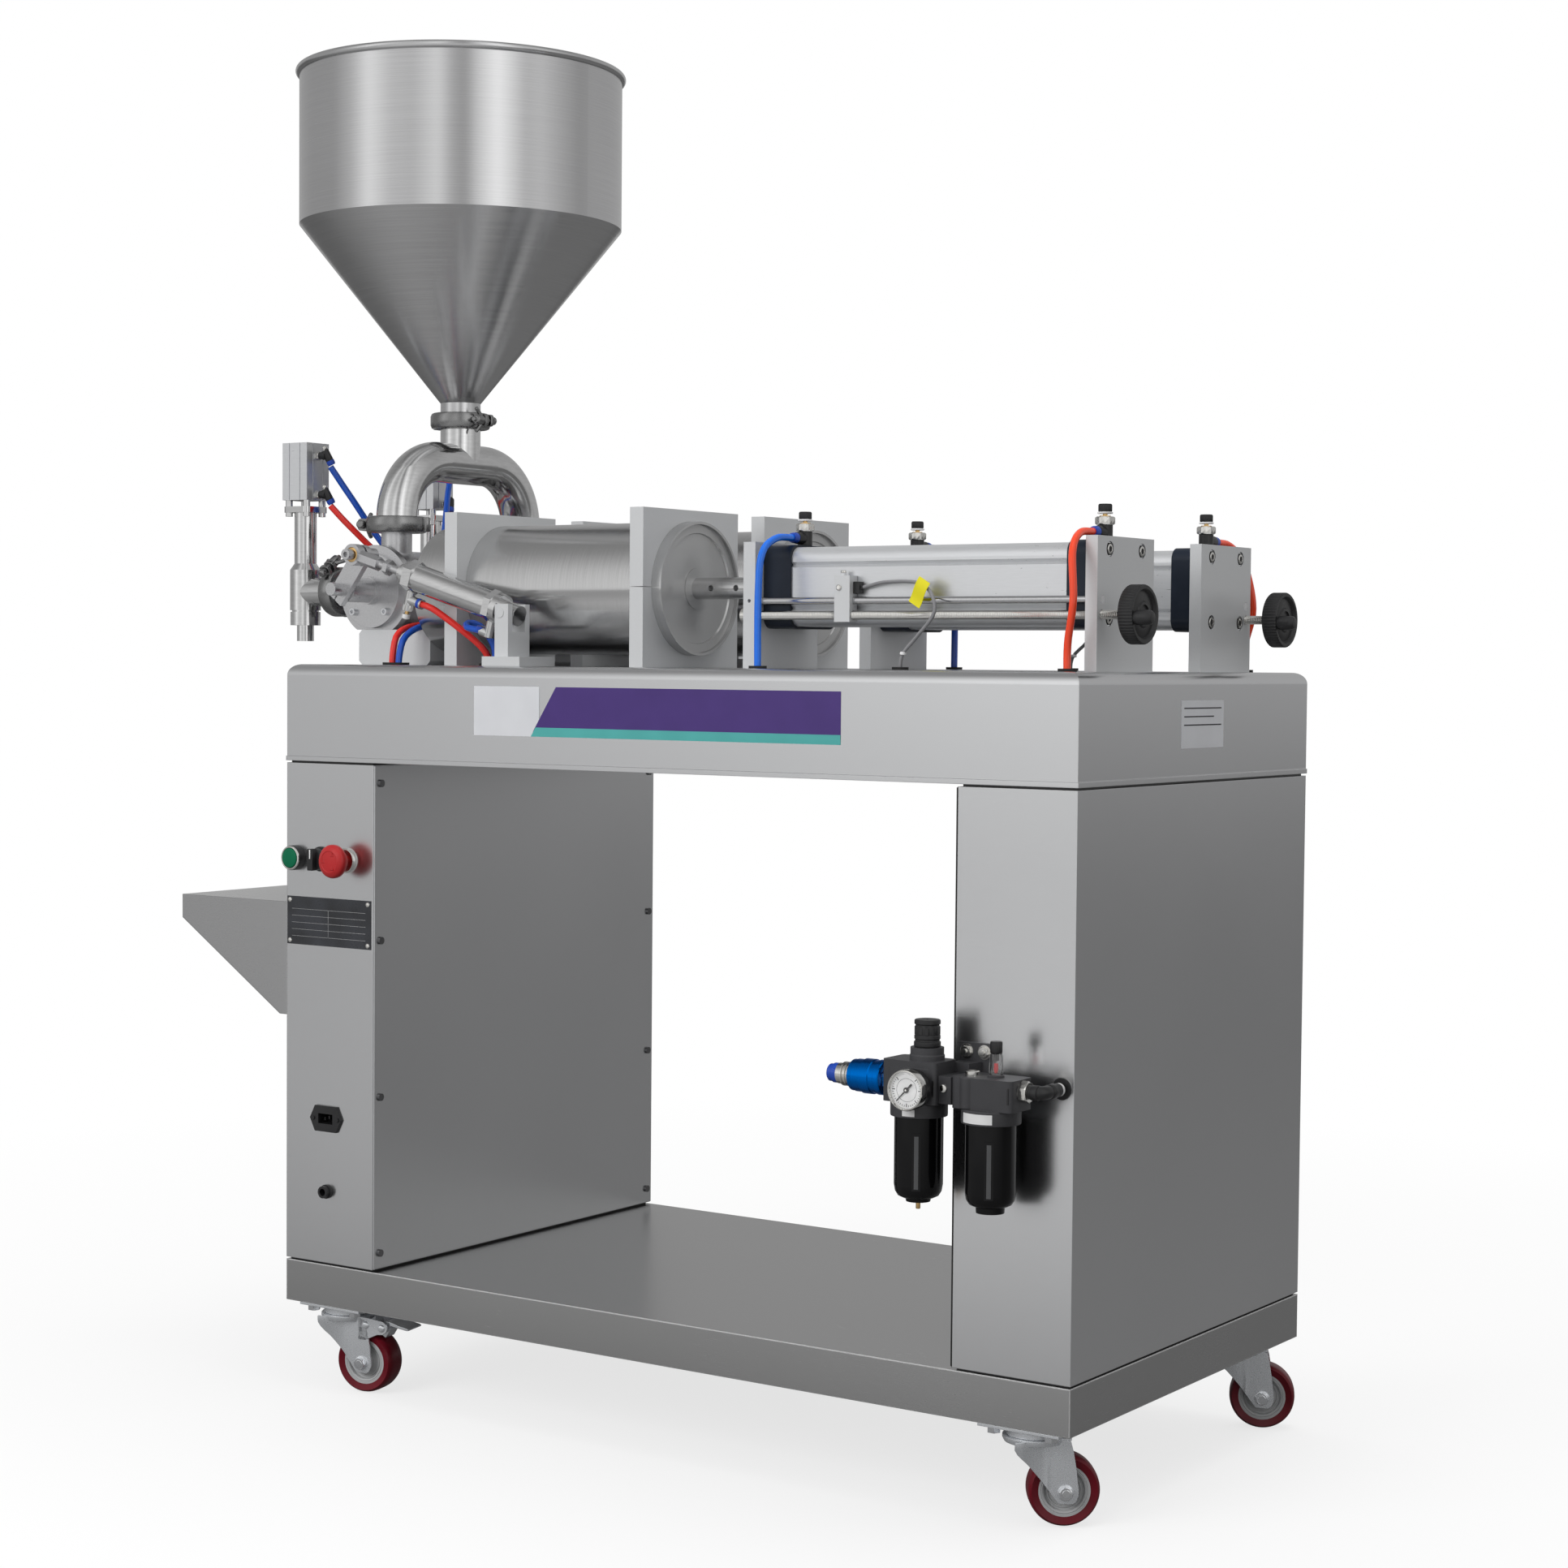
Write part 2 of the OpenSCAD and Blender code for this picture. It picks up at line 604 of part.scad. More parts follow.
module estop_button() color([0.75, 0.08, 0.06])
    translate([switch_x(2), panel_y, switch_z]) rotate([90, 0, 0]) rotate_extrude()
        polygon([[0, -12], [6, -12], [6, 11], [12, 11], [14, 19], [estop_d / 2, 21],
                 [estop_d / 2, 26], [estop_d / 2 - 3, 30], [estop_d / 2 - 8, 31.5], [0, 31.5]]);
module panel_sockets() color(black) {
    difference() {
        union() {
            xz(panel_y - 3, panel_y) translate([socket_x, inlet_z])
                polygon([[-25, 0], [-17, 15.5], [17, 15.5], [25, 0], [17, -15.5], [-17, -15.5]]);
            ry(inlet_hole - 0.6, panel_y - 1, panel_y + 24, socket_x, inlet_z);
        }
        bx(socket_x - 11.5, socket_x + 11.5, panel_y - 4, panel_y + 16, inlet_z - 6, inlet_z + 6);
    }
    for (x = [-7, 0, 7]) bx(socket_x + x - 1, socket_x + x + 1, panel_y + 4, panel_y + 17,
                            inlet_z - 3 + (x == 0 ? 2 : 0), inlet_z + 1 + (x == 0 ? 2 : 0));
    for (s = [-1, 1]) ry(5, panel_y - 4.5, panel_y - 3, socket_x + s * 19.5, inlet_z);
    difference() {
        union() {
            ry(14.5, panel_y - 8, panel_y, socket_x, pedal_z);
            ry(17, panel_y - 2.5, panel_y, socket_x, pedal_z);
            ry(pedal_d, panel_y - 1, panel_y + 18, socket_x, pedal_z);
        }
        ry(9, panel_y - 9, panel_y + 4, socket_x, pedal_z);
    }
}
gear_in = sheet;
module control_gear() color([0.75, 0.75, 0.72]) {
    bx(gear_in - end_x, gear_in - end_x + 60, -90, 90, 380, 560);
    bx(gear_in - end_x + 60, gear_in - end_x + 64, -85, 85, 385, 555);
    bx(end_x - gear_in - 20, end_x - gear_in, -70, 70, 590, 640);
    for (i = [0:3]) bx(end_x - gear_in - 70, end_x - gear_in - 20, 34 * i - 66, 34 * i - 36, 595, 635);
}

// Air treatment unit on the right column
frl_y = -side_y - frl_out;
filter_x = end_x - filter_in;
lube_x = end_x - lube_in;
body_hw = 32;
body_hd = 21.5;
ring_d = 60;
ring_h = 15;
joint_w = 16;
knob_d = 27.5;
feed_hole = 22;
feed_d = 14;
feed_x = end_x - 14;
feed_r = 9;
core_d = 22;
body1_z = [frl_z - 20, frl_z + 23];
body2_z = [frl_z - 20, frl_z + 12];
fit_x0 = filter_x - body_hw - 52;
module frl_body() color([0.29, 0.29, 0.3]) {
    difference() {
        union() {
            bx(filter_x - body_hw, filter_x + body_hw, frl_y - body_hd, frl_y + body_hd,
               body1_z[0], body1_z[1]);
            rz(ring_d - 1, body1_z[0] - ring_h, body1_z[0], filter_x, frl_y);
            rz(36, body1_z[1], body1_z[1] + 13, filter_x + 9, frl_y);
            bx(filter_x + body_hw, filter_x + body_hw + joint_w, frl_y - 17, frl_y + 17,
               frl_z - 18, frl_z + 10);
            bx(lube_x - body_hw - 5, lube_x + body_hw + 3, frl_y - body_hd, frl_y + body_hd,
               body2_z[0], body2_z[1]);
            rz(ring_d + 1, body2_z[0] - ring_h, body2_z[0], lube_x, frl_y);
            rz(14, body2_z[1], body2_z[1] + 24, lube_x + 5, frl_y);
            rz(13, body2_z[1], body2_z[1] + 4, lube_x - 20, frl_y);
            rz(22, body1_z[0] - 70, body1_z[0] - ring_h + 1, filter_x, frl_y);
            rz(5, body2_z[0] - 85, body2_z[0] - ring_h + 1, lube_x, frl_y);
            bx(filter_x + body_hw, filter_x + body_hw + joint_w, frl_y + 17, panel_y,
               frl_z - 12, frl_z + 20);
            bx(filter_x + 24, filter_x + 65, panel_y - 3, panel_y, frl_z - 12, frl_z + 39);
            hex_x(22, filter_x - body_hw - 7, filter_x - body_hw, frl_y, frl_z);
            rx(core_d, fit_x0, filter_x - body_hw - 7, frl_y, frl_z);
            rx(16, fit_x0 - 12, fit_x0, frl_y, frl_z);
            hex_x(20, lube_x + body_hw + 3, lube_x + body_hw + 12, frl_y, frl_z);
        }
        rx(supply_d + 0.2, fit_x0 - 12 - eps, fit_x0 + 8, frl_y, frl_z);
        rx(6, fit_x0 + 7, filter_x + 5, frl_y, frl_z);
        rz(regulator_stem + 2 * fit, body1_z[1] + 2, body1_z[1] + 13 + eps, filter_x + 9, frl_y);
        rz(lube_stem + 2 * fit, body2_z[1] + 14, body2_z[1] + 24 + eps, lube_x + 5, frl_y);
    }
    for (s = [0, 1]) ry(7, panel_y - 5.5, panel_y - 3, filter_x + 34 + 21 * s, frl_z + 30);
    rx(feed_d, lube_x + body_hw + 12, feed_x - feed_r, frl_y, frl_z);
    translate([feed_x - feed_r, frl_y + feed_r, frl_z]) rotate(-90) rotate_extrude(angle = 90)
        translate([feed_r, 0]) circle(d = feed_d);
    ry(feed_d, frl_y + feed_r, panel_y + 8, feed_x, frl_z);
}
supply_d = 10;
regulator_stem = 10;
lube_stem = 6;
module bowl(d, x, z) translate([x, frl_y, z]) rotate_extrude()
    polygon([[0, -bowl_h], [d / 2 - 9, -bowl_h], [d / 2 - 3, -bowl_h + 4], [d / 2, -bowl_h + 11],
             [d / 2, -0.3], [d / 2 - 3, -0.3], [d / 2 - 3, -bowl_h + 12],
             [d / 2 - 5, -bowl_h + 6], [d / 2 - 11, -bowl_h + 3], [0, -bowl_h + 3]]);
module frl_bowls() color(black) {
    bowl(bowl1_d, filter_x, body1_z[0] - ring_h + 0.3);
    bowl(bowl2_d, lube_x, body2_z[0] - ring_h + 0.3);
    rz(10, body1_z[0] - ring_h - bowl_h - 6.5, body1_z[0] - ring_h - bowl_h + 0.3, filter_x, frl_y);
    rz(10, body2_z[0] - ring_h - bowl_h - 5, body2_z[0] - ring_h - bowl_h + 0.3, lube_x, frl_y);
}
gauge_x = filter_x + 12;
gauge_z = frl_z - 3;
gauge_back = frl_y - body_hd - 8.3;
gauge_face = gauge_back - 14;
module pressure_gauge() color(black) {
    difference() {
        ry(gauge_d, gauge_face - 5, gauge_back, gauge_x, gauge_z);
        ry(gauge_d - 4, gauge_face - 6, gauge_face, gauge_x, gauge_z);
    }
    ry(10, gauge_back, frl_y - body_hd, gauge_x, gauge_z);
    ry(2, gauge_face - 2.4, gauge_face, gauge_x, gauge_z);
}
needle_rest = 225;
module gauge_needle() color([0.1, 0.1, 0.1])
    translate([gauge_x, gauge_face - 0.8, gauge_z]) rotate([90, 0, 0]) difference() {
        union() {
            cylinder(d = 6, h = 0.8);
            rotate(needle_rest) translate([-5, -0.6, 0]) cube([gauge_d / 2 + 0.5, 1.2, 0.8]);
        }
        translate([0, 0, -eps]) cylinder(d = 2 + 2 * fit, h = 4);
    }
module regulator_knob() color(black) {
    z = body1_z[1] + 13.3;
    rz(knob_d, z, z + 28, filter_x + 9, frl_y);
    rz(regulator_stem, z - 9, z + eps, filter_x + 9, frl_y);
}
module lubricator_knob() color(black) {
    z = body2_z[1] + 24.3;
    rz(12.5, z, z + 12, lube_x + 5, frl_y);
    rz(lube_stem, z - 8, z + eps, lube_x + 5, frl_y);
}
sleeve_x1 = filter_x - body_hw - 7.3;
module shutoff_sleeve() color([0.1, 0.3, 0.6]) difference() {
    rx(36.5, sleeve_x1 - 40, sleeve_x1, frl_y, frl_z);
    rx(core_d + 2 * fit, sleeve_x1 - 41, sleeve_x1 + eps, frl_y, frl_z);
}

// Hopper and pipes
hopper_r = hopper_d / 2;
cone_z1 = hopper_top - hopper_wall_h;
cone_z0 = cone_z1 - hopper_cone_h;
manifold_z = axis_z + manifold_up;
feed_joint = cone_z0 - 22.5;
leg_joint = axis_z + leg_joint_up;
module hopper() color(steel) translate([valve_x, 0, 0]) rotate_extrude() {
    t = hopper_t;
    r = hopper_r;
    p = pipe_d / 2;
    polygon([[p, feed_joint + ferrule_t], [p, cone_z0], [r, cone_z1], [r, hopper_top - rim_d / 2],
             [r - t, hopper_top - rim_d / 2], [r - t, cone_z1 + 0.4 * t], [p - t, cone_z0 + 0.4 * t],
             [p - t, feed_joint], [ferrule_d / 2, feed_joint], [ferrule_d / 2, feed_joint + ferrule_t / 2]]);
    translate([r, hopper_top - rim_d / 2]) circle(d = rim_d);
}
module u_pipe(d) {
    for (s = [-1, 1]) {
        rz(d, leg_joint, manifold_z - bend_r, valve_x, s * line_y);
        translate([valve_x, s * (-line_y - bend_r), manifold_z - bend_r]) rotate([90, 0, s * 90])
            rotate_extrude(angle = 90) translate([bend_r, 0]) circle(d = d);
    }
    ry(d, line_y + bend_r, -line_y - bend_r, valve_x, manifold_z);
    rz(d, manifold_z, feed_joint, valve_x, 0);
}
module manifold() color(steel) difference() {
    union() {
        u_pipe(pipe_d);
        for (s = [-1, 1]) rz(ferrule_d, leg_joint, leg_joint + ferrule_t, valve_x, s * line_y);
        rz(ferrule_d, feed_joint - ferrule_t, feed_joint, valve_x, 0);
    }
    u_pipe(pipe_d - 2 * pipe_t);
    for (s = [-1, 1]) rz(pipe_d - 2 * pipe_t, leg_joint - eps, leg_joint + eps, valve_x, s * line_y);
    rz(pipe_d - 2 * pipe_t, feed_joint - 4, feed_joint + eps, valve_x, 0);
}
clamp_h = 20;
module clamp(d) {
    r = d / 2;
    h = clamp_h / 2;
    rotate_extrude() polygon([[r - 5, -h], [r + 3, -h], [r + 6, -h + 4], [r + 6, h - 4],
                              [r + 3, h], [r - 5, h],
                              [r - 5, ferrule_t], [r, ferrule_t], [r, -ferrule_t], [r - 5, -ferrule_t]]);
    translate([r + 5.5, -7, -6]) cube([12, 5, 12]);
    translate([r + 5.5, 2, -6]) cube([12, 5, 12]);
    translate([r + 11, 16, 0]) rotate([90, 0, 0]) cylinder(d = 6, h = 30);
    translate([r + 11, -7, 0]) rotate([90, 0, 0]) cylinder(d = 11, h = 7);
    translate([r + 8, -20, -15]) cube([6, 6, 30]);
}
module pipe_clamps() color(zinc) {
    translate([valve_x, 0, feed_joint]) rotate(0) clamp(ferrule_d);
    both() {
        translate([valve_x, line_y, leg_joint]) rotate(200) clamp(ferrule_d);
        translate([inlet_joint, line_y, axis_z]) rotate([0, 90, 0]) rotate(180) clamp(small_ferrule_d);
        translate([outlet_joint, line_y, axis_z]) rotate([0, 90, 0]) rotate(-145) clamp(small_ferrule_d);
    }
}
inlet_joint = (valve_x + valve_d / 2 + prod_x) / 2;
outlet_joint = valve_x - 96;

// Valves; the near line is drawn and mirrored for the far one
valve_y1 = line_y + valve_l / 2 + 5;
valve_y0 = line_y - valve_l / 2;
flange_t = 10;
cover_t = 8;
cover_y = valve_y0 - cover_t;
boss_y = cover_y - 45;
cover_bolt_r = 37;
arm_y1 = boss_y - 0.3;
arm_y0 = arm_y1 - arm_t;
stand_top = deck_z + 43;
module ports(d, out) {
    rz(d, axis_z, leg_joint + out, valve_x, line_y);
    rx(d, outlet_joint - out, inlet_joint + out, line_y, axis_z);
}
module valve_bodies() color(steel) both() {
    difference() {
        union() {
            ry(valve_d, valve_y0, valve_y1, valve_x, axis_z);
            ry(flange_d, valve_y0, valve_y0 + flange_t, valve_x, axis_z);
            ports(small_d, 0);
            rz(pipe_d, leg_joint - clamp_h / 2, leg_joint, valve_x, line_y);
            rz(ferrule_d, leg_joint - ferrule_t, leg_joint, valve_x, line_y);
            rx(small_ferrule_d, inlet_joint - ferrule_t, inlet_joint, line_y, axis_z);
            rx(small_ferrule_d, outlet_joint, outlet_joint + ferrule_t, line_y, axis_z);
        }
        ports(port_d, eps);
        ry(rotor_d + 2 * fit, valve_y0 - eps, valve_y1 - 10, valve_x, axis_z);
        bx(valve_x - flange_d, valve_x + flange_d, valve_y0 - eps, valve_y1 + eps, stand_top - 20, stand_top);
    }
    difference() {
        union() {
            ry(cover_d, cover_y, valve_y0, valve_x, axis_z);
            ry(34, boss_y + 38, cover_y, valve_x, axis_z);
            ry(30, boss_y, boss_y + 38, valve_x, axis_z);
        }
        ry(shaft_d + 2 * fit, boss_y - eps, valve_y0 + eps, valve_x, axis_z);
    }
}
stand_x0 = valve_x - 20;
stand_x1 = prod_x - 0.5;
clevis_y = line_y - vcyl_out;
clevis_w = 39;
slot_w = 23;
clevis_hx = 10;
clevis_cx = pin_x + 2.5;
pin_z = deck_z + pin_up;
foot_h = 11;
module valve_mounts() color(alu) both() {
    xz(valve_y0 - 6, valve_y1) translate([(stand_x0 + stand_x1) / 2, (deck_z + stand_top) / 2])
        intersection() {
            square([stand_x1 - stand_x0, stand_top - deck_z], center = true);
            rotate(45) square((stand_x1 - stand_x0 + stand_top - deck_z - 10) / sqrt(2), center = true);
        }
    difference() {
        union() {
            bx(clevis_cx - 19, clevis_cx + 37, clevis_y - 31.5, clevis_y + 32.5, deck_z, deck_z + foot_h);
            bx(clevis_cx - clevis_hx, clevis_cx + clevis_hx, clevis_y - clevis_w / 2, clevis_y + clevis_w / 2,
               deck_z + foot_h, pin_z + 10);
        }
        bx(clevis_cx - clevis_hx - eps, clevis_cx + clevis_hx + eps,
           clevis_y - slot_w / 2, clevis_y + slot_w / 2, pin_z - 22, pin_z + 11);
        ry(vpin_d, clevis_y - clevis_w, clevis_y + clevis_w, pin_x, pin_z);
    }
    ry(vpin_d, clevis_y - clevis_w / 2 - 0.5, clevis_y + clevis_w / 2 + 0.5, pin_x, pin_z);
}

module valve_arm() color(alu) {
    difference() {
        ry(rotor_d, valve_y0 + 2, valve_y1 - 12, valve_x, axis_z);
        rz(port_d, axis_z - rotor_d, axis_z, valve_x, line_y);
        rx(port_d, valve_x - rotor_d, valve_x + rotor_d, line_y, axis_z);
    }
    ry(shaft_d, arm_y0 - 17.5, valve_y0 + 2, valve_x, axis_z);
    translate([valve_x, 0, axis_z]) rotate([0, arm_a, 0]) {
        difference() {
            xz(arm_y0, arm_y1) {
                translate([-12.5, -16]) square([25, arm_l + 16]);
                translate([0, arm_l]) circle(12.5);
            }
            ry(shaft_d, arm_y0 - eps, arm_y1 + eps, 0, 0);
            bx(-1, 1, arm_y0 - eps, arm_y1 + eps, -20, 0);
        }
        difference() {
            ry(18, arm_y1, arm_y1 + 16, 0, arm_l);
            ry(8, arm_y1 - eps, arm_y1 + 17, 0, arm_l);
        }
    }
}
module valve_arm_near() valve_arm();
module valve_arm_far() mirror([0, 1, 0]) valve_arm();

// The valve cylinder is drawn along its own axis, from its rear pin towards the link screw
link_x = valve_x + arm_l * sin(arm_a);
link_z = axis_z + arm_l * cos(arm_a);
vcyl_a = atan2(link_z - pin_z, pin_x - link_x);
vcyl_l = norm([pin_x - link_x, link_z - pin_z]);
tube_0 = 30;
tube_1 = 146;
head_1 = 173;
module along_cylinder() translate([pin_x, clevis_y, pin_z]) rotate([0, 180 + vcyl_a, 0]) children();
module valve_cylinder() color(steel) along_cylinder() {
    difference() {
        union() {
            intersection() {
                rx(24, -14, tube_0, 0, 0);
                bx(-20, tube_0, 0.3 - slot_w / 2, slot_w / 2 - 0.3, -20, 20);
            }
            rx(36, 11.5, 20, 0, 0);
            hex_x(35, 20, tube_0, 0, 0);
            rx(vtube_d, tube_0, tube_1, 0, 0);
            hex_x(35, tube_1, tube_1 + 13, 0, 0);
            rx(30, tube_1 + 13, tube_1 + 20, 0, 0);
            rx(22, tube_1 + 20, head_1, 0, 0);
            rz(12, 10, 36, 24, 0);
            rx(12, 24, 36, 0, 32);
            rz(12, 10, 34, tube_1 + 7, 0);
            rx(12, tube_1 - 14, tube_1 + 7, 0, 28);
            hex_z(11, 34, 41, tube_1 + 7, 0);
            rz(5, 40, 46, tube_1 + 7, 0);
            rz(9, 45, 51, tube_1 + 7, 0);
        }
        ry(vpin_d + 2 * fit, -20, 20, 0, 0);
        rx(vbore_d, tube_0, tube_1, 0, 0);
        rx(vrod_d + 2 * fit, tube_1 - eps, head_1 + eps, 0, 0);
    }
}
module valve_cylinder_near() valve_cylinder();
module valve_cylinder_far() mirror([0, 1, 0]) valve_cylinder();
eye_d = 26;
screw_tip = arm_y0 - 0.3 - clevis_y;
module valve_rod() color(steel) along_cylinder() {
    rx(vbore_d - 2 * fit, tube_0 + 3, tube_0 + 18, 0, 0);
    rx(vrod_d, tube_0 + 18, vcyl_l - 33, 0, 0);
    hex_x(17, head_1 + 19, head_1 + 26, 0, 0);
    difference() {
        union() {
            hex_x(15, vcyl_l - 42, vcyl_l - 10.5, 0, 0);
            ry(eye_d, -6, 5, vcyl_l, 0);
        }
        ry(18, -7, -5, vcyl_l, 0);
        ry(18, 4.5, 6, vcyl_l, 0);
    }
    difference() {
        union() {
            ry(8, -8, screw_tip, vcyl_l, 0);
            ry(13, -17, -8, vcyl_l, 0);
        }
        hex_y(6, -18, -12, vcyl_l, 0);
    }
}
module valve_rod_near() valve_rod();
module valve_rod_far() mirror([0, 1, 0]) valve_rod();

// Product cylinders, air cylinders and their plates
prod_x1 = prod_x + prod_l;
end_t = 8;
module product_cylinders() color(steel) both() difference() {
    union() {
        rx(prod_d, prod_x, prod_x1, line_y, axis_z);
        rx(small_d, inlet_joint, prod_x, line_y, axis_z);
        rx(small_ferrule_d, inlet_joint, inlet_joint + ferrule_t, line_y, axis_z);
    }
    rx(prod_d - 2 * prod_wall, prod_x + end_t, prod_x1 + eps, line_y, axis_z);
    rx(port_d, inlet_joint - eps, prod_x + end_t + eps, line_y, axis_z);
}
pplate_up = 90;
aplate_x1 = aplate_x + aplate_t;
barrel_x0 = aplate_x1 + cap_f;
barrel_x1 = barrel_x0 + barrel_l;
rplate_x0 = barrel_x1 + cap_r;
rplate_x1 = rplate_x0 + rplate_t;
tie_d = 10;
tie_head_d = 15.4;
counter_h = 10;
guide_y = line_y - guide_out;
guide_z = axis_z - guide_drop;
thread_y = guide_y - 1;
thread_z = guide_z - rod_gap;
module product_plate(x, split) difference() {
    bx(x, x + pplate_t, line_y - pplate_w / 2, line_y + pplate_w / 2, deck_z, axis_z + pplate_up);
    rx(prod_d, x - eps, x + pplate_t + eps, line_y, axis_z);
    if (split)
        bx(x - eps, x + pplate_t + eps, line_y - pplate_w, line_y + pplate_w, axis_z - 0.4, axis_z + 0.4);
}
module air_plate(x0, x1) difference() {
    bx(x0, x1, line_y - aplate_w / 2, line_y + aplate_w / 2, deck_z, axis_z + aplate_up);
    rx(guide_d, x0 - eps, x1 + eps, guide_y, guide_z);
    rx(thread_d + 2 * fit, x0 - eps, x1 + eps, thread_y, thread_z);
}
module machine_plates() color(alu) both() {
    product_plate(prod_x + pplate1_in, false);
    product_plate(prod_x1 - pplate2_in - pplate_t, true);
    difference() {
        air_plate(aplate_x, aplate_x1);
        rx(rod_d + 1, aplate_x - eps, aplate_x1 + eps, line_y, axis_z);
        ry(4, line_y - aplate_w, guide_y, (aplate_x + aplate_x1) / 2, guide_z);
    }
    difference() {
        air_plate(rplate_x0, rplate_x1);
        for (i = [-1, 1], j = [-1, 1]) {
            y = line_y + i * screw_pitch / 2;
            z = axis_z + j * screw_pitch / 2;
            rx(tie_d, rplate_x0 - eps, rplate_x1 + eps, y, z);
            rx(tie_head_d + 0.6, rplate_x1 - counter_h, rplate_x1 + eps, y, z);
        }
    }
}
groove = 3;
module barrel_shape() difference() {
    rounded(barrel_w, barrel_w, 14);
    circle(d = bore_d);
    for (a = [0:90:270], s = [-1, 1]) rotate(a) translate([barrel_w / 2, s * 24])
        polygon([[eps, -groove - eps], [-groove, 0], [eps, groove + eps]]);
}
nozzle_flange_z = axis_z + 100.5;
lift_bore = 32;
nozzle_flange_t = 7.5;
standoff_h = 8;
standoff_d = 9;
lift_z0 = nozzle_flange_z + nozzle_flange_t + standoff_h;
module air_cylinder_barrels() color(alu) both() {
    yz(barrel_x0, barrel_x1) translate([line_y, axis_z]) barrel_shape();
    difference() {
        translate([nozzle_x, line_y, lift_z0]) linear_extrude(block_h) difference() {
            square([block_w, block_d], center = true);
            for (a = [0:90:270], s = [-1, 1])
                rotate(a) translate([a % 180 == 0 ? block_w / 2 : block_d / 2, s * 9])
                    square([2, 1.6], center = true);
        }
        rz(lift_bore, lift_z0 + 6, lift_z0 + block_h - 6, nozzle_x, line_y);
        rz(stem_d + 2 * fit, lift_z0 - eps, lift_z0 + 7, nozzle_x, line_y);
    }
}
module cap(x0, x1) yz(x0, x1) translate([line_y, axis_z]) rounded(cap_w, cap_w, 14);
module air_cylinder_caps() color(navy) both() {
    difference() {
        cap(aplate_x1, barrel_x0);
        rx(rod_d + 2 * fit, aplate_x1 - eps, barrel_x0 + eps, line_y, axis_z);
    }
    cap(barrel_x1, rplate_x0);
}
module guide_rods() color(steel) both() rx(guide_d, aplate_x, rplate_x1, guide_y, guide_z);

back_x = prod_x1 - piston_in;
module piston() color(steel) {
    r = prod_d / 2 - prod_wall - fit;
    translate([back_x - piston_l, line_y, axis_z]) rotate([0, 90, 0]) difference() {
        rotate_extrude() polygon([[rod_d / 2, 0], [r, 0], [r, 7], [r - 3, 7], [r - 3, 11], [r, 11],
                                  [r, piston_l - 11], [r - 3, piston_l - 11], [r - 3, piston_l - 7],
                                  [r, piston_l - 7],
                                  [r, piston_l], [r - 10, piston_l], [r - 11, piston_l - 2],
                                  [24, piston_l - 2], [24, piston_l], [rod_d / 2, piston_l]]);
    }
    difference() {
        rx(rod_d, back_x - piston_l, barrel_x1 - 4, line_y, axis_z);
        for (x = [prod_x1 + 23, prod_x1 + 58]) ry(7, line_y - rod_d, line_y + rod_d, x, axis_z);
        rz(7, axis_z - rod_d, axis_z + rod_d, prod_x1 + 70, line_y);
    }
    difference() {
        rx(bore_d - 2 * fit, barrel_x1 - 6 - air_piston_l, barrel_x1 - 6, line_y, axis_z);
        rx(rod_d, barrel_x0, barrel_x1, line_y, axis_z);
    }
}
module piston_near() piston();
module piston_far() mirror([0, 1, 0]) piston();

// Sensor block, threaded rod and hand wheel
block_z0 = thread_z - 7.5;
block_z1 = guide_z + 27;
block_y0 = guide_y - 9;
block_y1 = line_y - barrel_w / 2 - 0.6;
module sensor_block() color(alu) {
    difference() {
        bx(block_x, block_x + block_l, block_y0, block_y1, block_z0, block_z1);
        rx(guide_d + 2 * fit, block_x - eps, block_x + block_l + eps, guide_y, guide_z);
        rx(thread_d + 2 * fit, block_x - eps, block_x + block_l + eps, thread_y, thread_z);
    }
    rz(7, block_z1, block_z1 + 3, block_x + 7, (block_y0 + block_y1) / 2);
    ry(5, block_y0 - 1.5, block_y0, block_x + 6, guide_z + 14);
    bx(block_x + block_l, block_x + block_l + 8, block_y1 - 8, block_y1, guide_z + 9, guide_z + 19);
}
module sensor_block_near() sensor_block();
module sensor_block_far() mirror([0, 1, 0]) sensor_block();
hand_x = rplate_x1 + wheel_gap;
module hand_wheel() color(black) {
    r = hand_d / 2;
    rx(thread_d, aplate_x - 2, hand_x + 8, thread_y, thread_z);
    difference() {
        rx(thread_d + 6, aplate_x - 8.3, aplate_x - 0.3, thread_y, thread_z);
        rx(thread_d, aplate_x - 2, aplate_x, thread_y, thread_z);
    }
    translate([hand_x, thread_y, thread_z]) rotate([0, 90, 0]) difference() {
        rotate_extrude() polygon([[0, -3], [10, -3], [11, 3], [r - 5, 3], [r - 4, 0], [r - 1, 0], [r, 1],
                                  [r, hand_w - 1], [r - 1, hand_w], [r - 5, hand_w], [r - 8, 10],
                                  [12, 10], [11, 7.5], [0, 7.5]]);
        translate([0, 0, -4]) cylinder(d = thread_d, h = 11);
    }
    translate([hand_x, thread_y - 22, thread_z - 3.5]) rotate([0, 90, 0]) {
        cylinder(d = 8, h = hand_w + 2);
        translate([0, 0, hand_w]) rotate_extrude()
            polygon([[0, 0], [handle_d / 2 - 2, 0], [handle_d / 2, 5], [handle_d / 2, handle_l - 4],
                     [handle_d / 2 - 3, handle_l], [0, handle_l]]);
    }
}
module hand_wheel_near() hand_wheel();
module hand_wheel_far() mirror([0, 1, 0]) hand_wheel();

